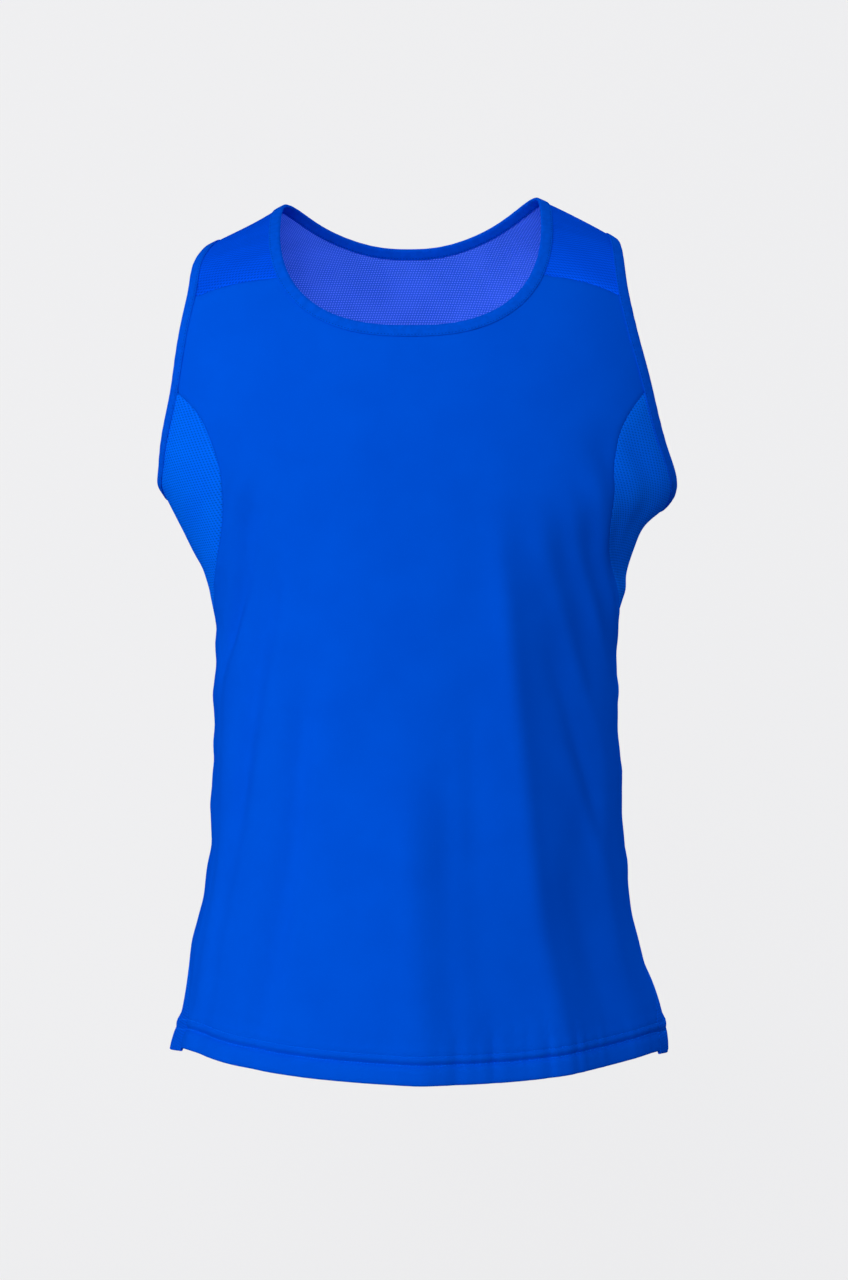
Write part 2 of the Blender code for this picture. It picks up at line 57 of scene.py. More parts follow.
# Body form: level rings from the top of the neck to below the hem. Each has a half width on the wearer's right
# and left, and a reach to the front and to the back, in millimetres.
RING_COLUMNS = ("height", "right", "left", "front", "back")
RINGS = (
    (30, 70, 74, 16, 26),
    (16, 106, 106, 30, 42),
    (0, 134, 138, 46, 58),
    (-18, 169, 169, 60, 72),
    (-38, 202, 189, 73, 83),
    (-64, 219, 201, 87, 94),
    (-90, 226, 207, 99, 102),
    (-148, 227, 216, 114, 114),
    (-195, 223, 218, 119, 117),
    (-226, 214, 217, 120, 116),
    (-252, 201, 199, 120, 114),
    (-280, 187, 180, 120, 112),
    (-312, 174, 173, 120, 109),
    (-350, 170, 169, 120, 106),
    (-450, 172, 171, 120, 105),
    (-550, 178, 177, 124, 112),
    (-620, 191, 192, 127, 121),
    (-668, 199, 207, 130, 127),
    (-700, 208, 211, 132, 130),
    (-730, 212, 214, 134, 133),
)
ROUNDNESS = 2.2                 # exponent of each ring's outline, where 2 is an ellipse
CORE_HEIGHT = -250.0 * MM       # above this level, the form is seen from this one point on the middle line
SHOULDER_FLOOR = -150.0 * MM    # the levels between which the shoulders lie
SHOULDER_ROOF = 29.0 * MM

# Neckline, as its finished edge: the front half as seen from the front, the back half as seen from above
NECK_CENTRE = -6.0 * MM
NECK_HALF_WIDTH = 108.0 * MM
NECK_WIDEST = {-1: -4.0 * MM, 1: 1.0 * MM}      # height of the widest point, on either side
NECK_FRONT_HEIGHT = -101.0 * MM
NECK_BACK_REACH = 68.0 * MM
NECK_FRONT_CURVE = 2.55             # exponent of the front scoop
NECK_BACK_CURVE = 2.25              # exponent of the back
NECK_SEAM = 64.0                    # forward shoulder seam, degrees round from the front centre

# Armholes, as their finished edges seen from the side, with the side of the body and their top and bottom
ARM_FRONT_REACH = 60.0 * MM
ARM_BACK_REACH = 70.0 * MM
ARMS = (
    ("right", -1, -20.0 * MM, -226.0 * MM),
    ("left", 1, -16.0 * MM, -236.0 * MM),
)
ARM_SHOULDER_SEAM = 60.0            # degrees round from the top, over the front
ARM_FRONT_SEAM = {"right": 102.5, "left": 98.5}
ARM_BACK_SEAM = 256.0

# Where the back panel's straps begin, behind the ridge of the shoulder
ARM_STRAP = 338.0
NECK_STRAP = 130.0

# Side inserts: how far round from the front centre their two seams lie, in degrees, at heights in millimetres
SIDE_COLUMNS = ("height", "front", "back")
SIDE_SEAMS = (
    (-165, 51.6, 127),
    (-180, 48.0, 128),
    (-197, 46.0, 129),
    (-218, 45.3, 129),
    (-240, 48.2, 128),
    (-260, 52.9, 126),
    (-278, 59.0, 123),
    (-296, 67.0, 118),
    (-315, 77.0, 114),
    (-340, 86.0, 110),
    (-380, 90.0, 108),
    (-500, 91.0, 108),
    (-600, 88.0, 108),
    (-640, 80.0, 107),
    (-675, 70.0, 106),
)

# Hem: its lower edge on the wearer's right and left, in millimetres, at degrees round from the front centre
HEM_COLUMNS = ("turn", "right", "left")
HEM_LINE = (
    (0, -702, -702),
    (22, -698, -700),
    (38, -694, -696),
    (52, -690, -693),
    (70, -687, -690),
    (92, -694, -695),
    (110, -695, -695),
    (140, -698, -698),
    (180, -700, -700),
)

# Folds: soft troughs (a positive depth) and ridges that run down the cloth. Each has its top and bottom, its turn
# at the top and at the bottom, the bend of the way between them, its width in degrees, its depth, and the share
# of that depth that is left at the bottom.
FOLDS = (
    (-215, -400, -36, -74, 1, 5, 3.5, 0.3),
    (-215, -560, -30, -62, 0.6, 5, 4, 0.4),
    (-330, -700, -29, -40, 1, 5, 3, 0.7),
    (-380, -720, 9, 12, 1, 6, 2.5, 1),
    (-200, -720, 15, 31, 0.6, 8, -3.5, 0.8),
    (-230, -720, 45, 58, 1, 16, 7.5, 1),
    (-165, -330, 45, 86, 1, 7, 4.5, 0.3),
    (-230, -720, -158, -165, 1, 9, 4.5, 0.9),
    (-270, -720, 176, 178, 1, 8, -3.5, 0.8),
    (-230, -700, 150, 152, 1, 9, 4.5, 0.8),
    (-280, -690, -122, -130, 1, 7, 4, 0.6),
    (-300, -690, 124, 128, 1, 7, 4, 0.6),
    # Smaller ones, which are not in the solids
    (-420, -740, -4, -1, 1, 14, -6, 1),
    (-215, -440, 20, 63, 1, 4.5, -2.6, 0.3),
    (-215, -390, 27, 73, 1, 3.8, -2.4, 0.3),
    (-205, -360, 33, 79, 1, 3.8, -2.6, 0.3),
    (-170, -330, 38, 86, 1.5, 5.5, 4.5, 0.3),
    (-220, -640, 10, 32, 0.45, 3.5, -2.4, 0.6),
    (-415, -560, 39, 67, 1, 5, -2, 0.2),
    (-330, -540, 31, 64, 0.85, 3.5, 1.3, 0.1),
    (-500, -740, 45, 46, 1, 9, 3, 1),
    (-560, -740, 60, 60, 1, 7, -1.5, 1),
    (-430, -740, -2, 1, 1, 3.2, -2.2, 1),
    (-440, -740, 5, 7, 1, 2.5, 0.8, 1),
    (-520, -740, 10, 11, 1, 5.5, -1.2, 1),
    (-540, -740, 27, 28, 1, 8, 1.9, 1),
    (-390, -560, 9, 10, 1, 2.4, -0.9, 0.3),
    (-205, -400, -34, -80, 1.4, 3.6, 3.2, 0.3),
    (-225, -560, -22, -60, 0.55, 4, 3.2, 0.5),
    (-350, -700, -28, -38, 1, 3.6, 2.4, 0.7),
    (-205, -330, -38, -72, 1.1, 3, 2, 0.3),
    (-360, -700, -20, -22, 1, 5, -1, 0.8),
    (-440, -700, -50, -54, 1, 5, 1.4, 0.6),
    (-240, -500, -140, -146, 1, 4, 1.6, 0.3),
    (-220, -420, -172, -170, 1, 3.5, -1, 0.3),
    (-300, -660, 163, 165, 1, 4, 1.6, 0.6),
    (-240, -480, 137, 142, 1, 4, 1.8, 0.3),
    (-420, -700, -148, -152, 1, 4, -1.5, 0.7),
    (-480, -700, 139, 136, 1, 4, 1.4, 0.7),
    (-210, -400, 118, 124, 1, 4, 1.5, 0.2),
    (-210, -400, -116, -122, 1, 4, 1.5, 0.2),
)
FOLD_RISE = 0.3                 # share of a fold's length over which it grows to its full depth

# Small level waves down the sides: height, turn, half height, half turn and depth
SIDE_WAVES = (
    (-221, -84, 8, 12, -2.0),
    (-259, 92, 14, 22, 4.6),
    (-292, -96, 9, 16, 1.6),
    (-318, -100, 8, 18, -1.4),
    (-342, -92, 9, 15, 1.8),
    (-371, -97, 10, 16, 1.9),
    (-398, -90, 9, 18, -1.2),
    (-424, -99, 10, 16, 1.8),
    (-452, -94, 9, 14, 1.5),
    (-489, -97, 12, 17, -1.6),
    (-523, -92, 12, 16, 2.0),
    (-566, -98, 13, 17, 1.8),
    (-605, -92, 13, 15, -1.5),
    (-309, 92, 8, 17, -1.7),
    (-333, 99, 9, 15, 2.1),
    (-362, 93, 9, 16, 1.6),
    (-394, 98, 10, 17, -1.9),
    (-428, 94, 11, 16, 2.3),
    (-463, 91, 10, 15, -1.5),
    (-498, 97, 12, 17, 2.4),
    (-540, 93, 12, 16, -1.7),
    (-579, 98, 13, 17, 2.1),
    (-622, 93, 13, 16, 1.5),
)

# Faint unevenness all over: the height of its parts, each the product of two waves, and for each wave its rate
# round the body in radians a degree, its rate down the body in radians a millimetre, and its start
UNEVEN = (
    (0.25, (0.21, 0.013, 0.0), (-0.07, 0.031, 1.3)),
    (0.15, (0.43, -0.017, 2.1), (0.11, 0.052, 0.0)),
)
UNEVEN_TOP = -120               # above this height the cloth is smooth, and as far below it wholly uneven

# Hem: how far the cloth stands out, in millimetres, at distances above its lower edge
HEM_PROFILE = (
    (0, -0.3),
    (2, 0.25),
    (5, 0.5),
    (9, 0.45),
    (12, 0.1),
    (14, -0.95),
    (15.3, -1.8),
    (16.2, -1.65),
    (17.5, -0.4),
    (19.2, 0.9),
    (20.8, 1.15),
    (22.6, 0.5),
    (23.8, 0.8),
    (28, 0.5),
    (36, 0.15),
    (46, 0.0),
)
HEM_STITCHES = (15.3 * MM, 22.6 * MM)   # the two rows, above the lower edge
HEM_SOFT_SHARE = 0.7            # how much flatter the profile is in the middle of the sides
HEM_SOFT_HALF = 17              # and half the degrees over which it is
HEM_ROW_PLACES = (
    24, 23.4, 23, 22.6, 22.2, 21.7, 20.4, 19, 17.6, 16.5, 15.8, 15.3, 14.8, 14.2, 13, 11, 9, 7, 5, 3.2, 1.8)
HEM_INSIDE_PLACES = (1.8, 4, 7, 10, 13, 15.3, 17.5, 20, 22.6, 23.6)

# Small upright ripples that the hem's stitches draw up: height, radians a degree and start of each
PUCKERS = (
    (0.42, 1.55, 0.4),
    (0.336, 2.37, 1.9),
    (0.252, 3.9, 0.7),
    (0.294, 0.93, 4.0),
)
PUCKER_LEAST = 0.35             # their strength where they are weakest
PUCKER_MORE = ((1.15, 21, 20), (0.35, 150, 25), (0.35, -150, 25))   # and what some turns add: how much, where, width
PUCKER_REACH = 17 * MM          # how far they run up above the stitches
PUCKER_TOP = 90 * MM            # and where they end

# The side inserts' hem hangs lower than the front's and stands out, from the seams on
SIDE_HEM_DROP = 2.4 * MM
SIDE_HEM_KICK = 1.5 * MM
SIDE_HEM_START = 27 * MM        # where the kick begins, above the lower edge
SIDE_HEM_RISE = 5 * MM          # and over which height it grows
SIDE_HEM_HALF = 15              # degrees from the side's middle to a seam at the hem
SIDE_HEM_SOFT = 9               # and in which the kick grows

# Seams: the cloth dips where two panels meet, swells beside the dip, and puckers a little
SEAM_DIP = 0.55 * MM
SEAM_DIP_WIDTH = 1.5 * MM
SEAM_SHOULDER = 0.12 * MM
SEAM_SHOULDER_AT = 5.0 * MM
SEAM_SHOULDER_WIDTH = 3.0 * MM
SEAM_PUCKER = 0.11 * MM
SEAM_PUCKER_WIDTH = 7.0 * MM
SEAM_RIPPLES = ((1.0, 1.7 * MM, 0.0), (0.8, 2.9 * MM, 1.1))     # the puckers' waves: height, way a radian, start
SEAM_SPELL = 23 * MM            # way a radian of the slower wave in which they come and go
SEAM_EDGE = 1.3 * MM            # distance of a seam's first row of points
SEAM_STEP = 0.4 * MM            # spacing of the points that stand for a seam
TAPE_EASE = 9.0 * MM            # way in which a seam's dip fades out towards a tape
LOOSE_EASE = 12.0 * MM          # and towards a foot that lies loose over the hem

# Grid of each panel
STRAP_COLUMNS = 20
NECK_COLUMNS = 92
BACK_NECK_COLUMNS = 80
SEAM_ROWS = 150
SEAM_POINTS = 600               # points of the dense curve along a side seam
ARM_ROWS = 26
BACK_ARM_ROWS = 44
STRAP_ROWS = 34
SIDE_PANEL_COLUMNS = 34
STEP_DEGREES = 0.25             # spacing of the dense curves that edges are read from
HALVINGS = 44                   # steps in which a point is brought on to the form
BUNCHING = 1.25                 # how much the rows of a side seam close up towards the armhole
LEVELLING = 4                   # how fast the rows below an armhole turn level and even


def spline(knots, values):
    """Natural cubic through a table's rows, as a function of height or turn."""
    order = np.argsort(knots)
    knots, values = np.asarray(knots, float)[order], np.asarray(values, float)[order]
    step = np.diff(knots)
    rise = np.diff(values) / step
    system = np.diag(1 / step, 1) + np.diag(1 / step, -1)
    system += 2 * np.diag(np.append(1 / step, 0) + np.append(0, 1 / step))
    slope = np.linalg.solve(system, 3 * (np.append(rise / step, 0) + np.append(0, rise / step)))

    def curve(x):
        x = np.clip(x, knots[0], knots[-1])
        i = np.clip(np.searchsorted(knots, x) - 1, 0, len(step) - 1)
        t = (x - knots[i]) / step[i]
        start = values[i] * (1 + 2 * t) * (1 - t) ** 2 + slope[i] * step[i] * t * (1 - t) ** 2
        end = values[i + 1] * t * t * (3 - 2 * t) + slope[i + 1] * step[i] * t * t * (t - 1)
        return start + end
    return curve


def table_curves(columns, rows, units):
    """One smooth curve for each column of a table after the first, against that first column."""
    data = np.array(rows, float) * units
    return {name: spline(data[:, 0], data[:, i]) for i, name in enumerate(columns) if i}


def travelled(points):
    """Running length along a line of points."""
    return np.concatenate(([0.0], np.cumsum(np.linalg.norm(np.diff(points, axis=0), axis=1))))


def read_off(points, scale, wanted):
    """Points of a line, where a running scale along it reads the wanted numbers."""
    return np.column_stack([np.interp(wanted, scale, values) for values in points.T])


RING = table_curves(RING_COLUMNS, RINGS, MM)
SIDE_SEAM = table_curves(SIDE_COLUMNS, SIDE_SEAMS, (MM, 1, 1))
HEM = table_curves(HEM_COLUMNS, HEM_LINE, (1, MM, MM))
HEM_SHAPE = table_curves(("above", "out"), HEM_PROFILE, MM)["out"]


# The body form

def half_width(height, side):
    return np.where(side < 0, RING["right"](height), RING["left"](height))


def reach(height, y):
    return np.where(y < 0, RING["front"](height), RING["back"](height))


def other_share(share):
    """Where one coordinate has this share of its ring's reach, the share that the other has."""
    return np.clip(1 - np.abs(share) ** ROUNDNESS, 0, None) ** (1 / ROUNDNESS)


def fullness(points):
    """1 on the form, less inside it and more outside."""
    x, y, z = points.T
    return np.abs(x / half_width(z, x)) ** ROUNDNESS + np.abs(y / reach(z, y)) ** ROUNDNESS


def ring_points(turns, heights):
    """Points of the form at degrees round from the front centre."""
    angle = np.radians(turns)
    x = np.sign(np.sin(angle)) * np.abs(np.sin(angle)) ** (2 / ROUNDNESS)
    y = -np.sign(np.cos(angle)) * np.abs(np.cos(angle)) ** (2 / ROUNDNESS)
    return np.column_stack((x * half_width(heights, x), y * reach(heights, y), heights))


def turns_of(points):
    """Degrees round from the front centre, as ring_points takes them."""
    x, y, z = points.T
    across = np.abs(x / half_width(z, x)) ** (ROUNDNESS / 2)
    ahead = np.abs(y / reach(z, y)) ** (ROUNDNESS / 2)
    return np.degrees(np.arctan2(np.sign(x) * across, -np.sign(y) * ahead))


def on_form(count, low, high, place):
    """The number between two bounds at which each of so many points comes to lie on the form."""
    low, high = np.full(count, low), np.full(count, high)
    for _ in range(HALVINGS):
        middle = (low + high) / 2
        outside = fullness(place(middle)) > 1
        high = np.where(outside, middle, high)
        low = np.where(outside, low, middle)
    return low


def drape(points):
    """Move points straight out from the torso's middle until they lie on the form."""
    core = np.zeros_like(points)
    core[:, 2] = np.minimum(points[:, 2], CORE_HEIGHT)
    ray = points - core
    share = on_form(len(points), 0.2, 4.0, lambda middle: core + middle[:, None] * ray)
    return core + share[:, None] * ray


def outward(points):
    """Unit normals of the form."""
    probe = 0.2 * MM
    slopes = [fullness(points + probe * axis) - fullness(points - probe * axis) for axis in np.eye(3)]
    normals = np.column_stack(slopes)
    return normals / np.linalg.norm(normals, axis=1, keepdims=True)


def hem_height(turns):
    """Height of the hem's lower edge."""
    turns = half_turn(turns)
    return np.where(turns < 0, HEM["right"](-turns), HEM["left"](turns))


def half_turn(turn):
    """The same turn between -180 and 180 degrees."""
    return (turn + 180) % 360 - 180


def ease(t):
    """From 0 to 1, with a soft start and end."""
    t = np.clip(t, 0, 1)
    return t * t * (3 - 2 * t)


def bell(distance, width):
    return np.exp(-(distance / width) ** 2)


def folds(points):
    """How far the folds lift the cloth off the form, which is negative in a trough."""
    height = points[:, 2] / MM
    turn = turns_of(points)
    lift = np.zeros(len(points))
    for top, bottom, turn_top, turn_bottom, bend, width, depth, tail in FOLDS:
        along = (top - height) / (top - bottom)
        middle = turn_top + (turn_bottom - turn_top) * np.clip(along, 0, 1) ** bend
        fade = 1 + (tail - 1) * ease((along - 1 + FOLD_RISE) / FOLD_RISE)
        lift -= depth * MM * ease(along / FOLD_RISE) * fade * bell(half_turn(turn - middle), width)
    return lift


def waves(points):
    """The small level waves down the sides, and the faint unevenness all over."""
    height = points[:, 2] / MM
    turn = turns_of(points)
    lift = np.zeros(len(points))
    for middle, side, tall, wide, depth in SIDE_WAVES:
        lift -= depth * MM * bell(height - middle, tall) * bell(half_turn(turn - side), wide)
    below = ease((UNEVEN_TOP - height) / -UNEVEN_TOP)
    for size, *pair in UNEVEN:
        for round_rate, down_rate, start in pair:
            size = size * np.sin(turn * round_rate + height * down_rate + start)
        lift += size * MM * below
    return lift


def pucker(turn, above):
    """The hem's ripples, strongest at the front, on the wearer's left."""
    ripple = sum(size * MM * np.sin(turn * rate + start) for size, rate, start in PUCKERS)
    share = PUCKER_LEAST + sum(more * bell(turn - middle, width) for more, middle, width in PUCKER_MORE)
    over = np.clip(above - HEM_STITCHES[1], 0, None)
    held = 0.55 + 0.45 * np.clip(above / HEM_STITCHES[0], 0, 1)
    return ripple * share * np.exp(-(over / PUCKER_REACH) ** 1.4) * held


def relief(points):
    """Everything that lifts the cloth off the form, but for the seams."""
    lift = folds(points) + waves(points)
    turn = turns_of(points)
    above = points[:, 2] - hem_height(turn)
    near = above < HEM_PROFILE[-1][0] * MM
    above = np.clip(above, 0, None)
    beside = np.exp(-((np.abs(turn) - 90) / HEM_SOFT_HALF) ** 4)
    lift += np.where(near, HEM_SHAPE(above) * (1 - HEM_SOFT_SHARE * beside), 0)
    return lift + np.where(above < PUCKER_TOP, pucker(turn, above), 0)


# Edges and seams

class Edge:
    """A dense curve on the form, and the lines that run beside it."""

    def __init__(self, points, inward):
        self.points = points
        self.inward = inward        # +1 or -1, for the side on which distances are positive

    def beside(self, distance):
        along = np.gradient(self.points, axis=0)
        aside = np.cross(outward(self.points), along)
        aside /= np.linalg.norm(aside, axis=1, keepdims=True)
        return drape(self.points + aside * distance * self.inward)

    def stations(self, start, end, count, trim=0.0, bunching=1.0):
        """Places on the curve between two of its points and that far short of each, closing up if so asked."""
        length = travelled(self.points)
        index = np.arange(len(self.points))
        first, last = np.interp((start, end), index, length)
        trim *= np.sign(last - first)
        share = 1 - np.linspace(1, 0, count + 1) ** bunching
        return np.interp(first + trim + (last - first - 2 * trim) * share, length, index)

    def line(self, distance, stations):
        """The points at these stations of the line that runs at this distance beside the curve."""
        return read_off(self.beside(distance), np.arange(len(self.points)), stations)


class Loop(Edge):
    """An edge that is known by its angle."""

    def __init__(self, shape, start, end, inward):
        angles = np.arange(start, end + STEP_DEGREES, STEP_DEGREES)
        super().__init__(shape(angles), inward)
        self.start = start

    def between(self, start, end, count, trim=0.0):
        return self.stations((start - self.start) / STEP_DEGREES, (end - self.start) / STEP_DEGREES, count, trim)

    def clear_of(self, start, end, count, last):
        """Such stations, of which only the first or the last keeps clear of a seam."""
        stations = self.between(start, end, count)
        stations[-last] = self.between(start, end, 1, SEAM_GAP / 2)[-last]
        return stations


def height_over(x, y):
    """Height of the form over a point of its plan, near the shoulders."""
    return on_form(len(x), SHOULDER_FLOOR, SHOULDER_ROOF, lambda height: np.column_stack((x, y, height)))


def neckline(angles):
    """Finished neck edge: 0 at the front centre, 90 on the wearer's left shoulder, 180 at the back."""
    across = np.sin(np.radians(angles))
    ahead = np.cos(np.radians(angles))
    curve = np.where(ahead >= 0, NECK_FRONT_CURVE, NECK_BACK_CURVE)
    x = NECK_CENTRE + NECK_HALF_WIDTH * np.sign(across) * np.abs(across) ** (2 / curve)
    widest_x = NECK_CENTRE + NECK_HALF_WIDTH * np.where(across < 0, -1, 1)
    widest_z = np.where(across < 0, NECK_WIDEST[-1], NECK_WIDEST[1])
    widest_y = -reach(widest_z, -1) * other_share(widest_x / half_width(widest_z, across))
    fall = np.abs(ahead) ** (2 / curve)
    front_z = widest_z + (NECK_FRONT_HEIGHT - widest_z) * fall
    front_y = -reach(front_z, -1) * other_share(x / half_width(front_z, x))
    back_y = widest_y + (NECK_BACK_REACH - widest_y) * fall
    back_z = height_over(x, back_y)
    y = np.where(ahead >= 0, front_y, back_y)
    z = np.where(ahead >= 0, front_z, back_z)
    return np.column_stack((x, y, z))


def armhole(side, top, bottom):
    """Finished armhole edge: 0 on top of the shoulder, 90 at the front, 180 under the arm, 270 at the back."""
    def shape(angles):
        ahead = np.sin(np.radians(angles))
        y = -ahead * np.where(ahead > 0, ARM_FRONT_REACH, ARM_BACK_REACH)
        z = (top + bottom) / 2 + (top - bottom) / 2 * np.cos(np.radians(angles))
        x = side * half_width(z, side) * other_share(y / reach(z, y))
        return np.column_stack((x, y, z))
    return shape


NECK = Loop(neckline, -90, 450, -1)
ARM = {name: Loop(armhole(side, top, bottom), 0, 450, -side) for name, side, top, bottom in ARMS}
SIDE = {name: side for name, side, top, bottom in ARMS}


def side_seam(name, column, arm_angle):
    """The seam of a side insert, from the hem's top up to the armhole; positive distances lie to the front."""
    side = SIDE[name]
    head = ARM[name].line(0, ARM[name].between(arm_angle, arm_angle, 0))
    foot = hem_height(side * SIDE_SEAM[column](SIDE_SEAMS[-1][0] * MM)) + HEM_TURN
    table = np.array(SIDE_SEAMS, float)
    heights = np.concatenate(([head[0, 2]], table[:, 0] * MM))
    turns = np.concatenate((np.abs(turns_of(head)), table[:, SIDE_COLUMNS.index(column)]))
    steps = np.linspace(foot, head[0, 2], SEAM_POINTS)
    return Edge(ring_points(side * spline(heights, turns)(steps), steps), side)


FRONT_SEAM = {name: side_seam(name, "front", ARM_FRONT_SEAM[name]) for name in SIDE}
BACK_SEAM = {name: side_seam(name, "back", ARM_BACK_SEAM) for name in SIDE}
BOUND = BINDING_WIDTH + SEAM_GAP    # from a bound edge to the first free line of the panel


# Grids

def between(start, end, count):
    """Points on the form from one point to another, both included."""
    share = np.linspace(0, 1, count + 1)[:, None]
    return drape(np.asarray(start) * (1 - share) + np.asarray(end) * share)


def shares(first, second):
    """Running share of the length along two opposite sides, on average."""
    first, second = travelled(first), travelled(second)
    return first / first[-1] / 2 + second / second[-1] / 2


def span(bottom, top, left, right):
    """Grid of rows between four sides that meet at their corners, laid on the form."""
    u = shares(bottom, top)[None, :, None]
    v = shares(left, right)[:, None, None]
    corners = (1 - v) * ((1 - u) * bottom[0] + u * bottom[-1]) + v * ((1 - u) * top[0] + u * top[-1])
    grid = (1 - v) * bottom + v * top + (1 - u) * left[:, None] + u * right[:, None] - corners
    grid = drape(grid.reshape(-1, 3)).reshape(grid.shape)
    grid[0], grid[-1], grid[:, 0], grid[:, -1] = bottom, top, left, right
    return grid


def seam_side(seam, distance, arm, arm_station):
    """One side of a side seam up to the armhole's tape, where it ends at the panel's corner."""
    tape_edge = arm.beside(BOUND)
    clearance = [np.linalg.norm(tape_edge - point, axis=1).min() for point in seam.points]
    stations = seam.stations(0, np.argmin(clearance), SEAM_ROWS, bunching=BUNCHING)
    line = seam.line(distance, stations)
    line[-1] = arm.line(BOUND, arm_station)[0]
    return line


def hem_line(turns, above=0.0):
    """Points on the form along the hem's lower edge, or that far above it."""
    return ring_points(turns, hem_height(turns) + above)


# Places on the cloth

TURNS = np.linspace(-180, 180, 721)
HEIGHTS = np.arange(-730, 29.5, 2.0) * MM


def measured():
    """Lengths over the form, in metres: round each ring from the front centre, and up from the lowest ring."""
    turns, heights = np.meshgrid(TURNS, HEIGHTS)
    points = ring_points(turns.ravel(), heights.ravel()).reshape(*turns.shape, 3)
    round_steps = np.linalg.norm(np.diff(points, axis=1), axis=2)
    round_length = np.hstack((np.zeros((len(HEIGHTS), 1)), np.cumsum(round_steps, axis=1)))
    round_length -= round_length[:, [len(TURNS) // 2]]
    up_steps = np.linalg.norm(np.diff(points, axis=0), axis=2)
    return round_length, np.vstack((np.zeros(len(TURNS)), np.cumsum(up_steps, axis=0)))


ROUND_LENGTH, UP_LENGTH = measured()


def sample(table, turns, heights):
    """Value of a table of turns and heights between its entries."""
    column = np.clip((turns - TURNS[0]) / (TURNS[1] - TURNS[0]), 0, len(TURNS) - 1.001)
    row = np.clip((heights - HEIGHTS[0]) / (HEIGHTS[1] - HEIGHTS[0]), 0, len(HEIGHTS) - 1.001)
    i, j = row.astype(int), column.astype(int)
    a, b = row - i, column - j
    low = table[i, j] * (1 - b) + table[i, j + 1] * b
    return low * (1 - a) + (table[i + 1, j] * (1 - b) + table[i + 1, j + 1] * b) * a


def fabric(points, back):
    """Place of each point on its panel's cloth, in metres across and up."""
    turn = turns_of(points)
    height = points[:, 2]
    across = sample(ROUND_LENGTH, turn, height)
    if back:
        across -= sample(ROUND_LENGTH, np.where(turn < 0, -180.0, 180.0), height)
    return np.column_stack((across, sample(UP_LENGTH, turn, height)))


# Panels

class Seams:
    """The seam lines of a panel, and how its cloth dips and puckers beside them. The dip fades out under a tape."""

    def __init__(self, lines):
        parts = []
        for line, taped, *loose in lines:
            length = travelled(line)
            along = np.arange(0, length[-1], SEAM_STEP)
            to_tape = np.minimum(length[-1] - along, along if taped == "both" else np.inf)
            held = ease((to_tape + 1 * MM) / TAPE_EASE)
            if loose:
                held = held * ease((along - HEM_TURN) / LOOSE_EASE)
            parts.append((read_off(line, length, along), along, held))
        points, self.along, self.held = (np.concatenate(part) for part in zip(*parts))
        self.tree = KDTree(len(points))
        for i, point in enumerate(points):
            self.tree.insert(point, i)
        self.tree.balance()

    def lift(self, points):
        found = [self.tree.find(point) for point in points]
        away = np.array([entry[2] for entry in found])
        nearest = [entry[1] for entry in found]
        along = self.along[nearest]
        dip = -SEAM_DIP * bell(away, SEAM_DIP_WIDTH)
        swell = SEAM_SHOULDER * bell(away - SEAM_SHOULDER_AT, SEAM_SHOULDER_WIDTH)
        ripple = sum(size * np.sin(along / length + start) for size, length, start in SEAM_RIPPLES)
        ripple *= 0.5 + 0.5 * np.sin(along / SEAM_SPELL + 0.6)
        return self.held[nearest] * (dip + swell + SEAM_PUCKER * ripple * bell(away, SEAM_PUCKER_WIDTH))


def lay(base, seams, out=0.0):
    """Points of a panel's middle surface over points of the form."""
    base = drape(np.asarray(base, float).reshape(-1, 3))
    return base + outward(base) * (relief(base) + seams.lift(base) + out)[:, None]


class Sheet:
    """A panel's grids of points with their places on the cloth."""

    def __init__(self, lines, grids, strips, back=False, kick=0.0, drop=0.0):
        """Seam lines, grids with the lowest first, and the stations of its bound edges, which lie inside the tape."""
        self.seams = Seams(lines)
        self.back = back
        self.kick = kick            # how far the hem stands out
        self.drop = drop            # and how far it hangs below the hem line
        self.grids = []
        for grid in grids:
            self.add(grid)
        self.add_hem(grids[0][0])
        for edge, stations in strips:
            self.add(np.array([edge.line(BOUND, stations), edge.line(TUCK, stations)]))

    def kicked(self, base):
        """How far the hem's step lifts points off the form."""
        turns = turns_of(base)
        rise = (SIDE_HEM_START - base[:, 2] + hem_height(turns)) / SIDE_HEM_RISE
        return self.kick * ease(rise) * ease((SIDE_HEM_HALF - np.abs(np.abs(turns) - 90)) / SIDE_HEM_SOFT)

    def hem_base(self, turns, above):
        """Points of the form round the panel, that far above its lowest edge."""
        return ring_points(turns, hem_height(turns) + above - self.drop * (1 - ease(above / HEM_TURN)))

    def line_at(self, turns, above):
        """Points of the middle surface over those of hem_base."""
        base = self.hem_base(turns, above)
        return lay(base, self.seams, self.kicked(base))

    def add(self, base):
        flat = base.reshape(-1, 3)
        points = lay(flat, self.seams, self.kicked(drape(flat)))
        self.grids.append((points.reshape(base.shape), fabric(flat, self.back).reshape(*base.shape[:2], 2)))

    def add_hem(self, top):
        """The turned-up hem under a line of points: down the outside, round the fold and up the inside."""
        turns = turns_of(top)
        edge = fabric(hem_line(turns), self.back)[:, 1]
        fold = np.radians(np.linspace(20, 160, 5))
        places = [(place * MM, 0.0) for place in HEM_ROW_PLACES]
        places += [(HEM_BEND * (1 - np.sin(a)), HEM_BEND * (np.cos(a) - 1)) for a in fold]
        places += [(place * MM, -2 * HEM_BEND) for place in HEM_INSIDE_PLACES]
        rows = []
        uvs = []
        for i, (above, out) in enumerate(places):
            base = self.hem_base(turns, above)
            rows.append(lay(base, self.seams, self.kicked(base) + out))
            uv = fabric(base, self.back)
            if i >= len(HEM_ROW_PLACES):
                uv[:, 1] = 2 * edge - uv[:, 1]
            uvs.append(uv)
        self.grids.append((np.array(rows), np.array(uvs)))


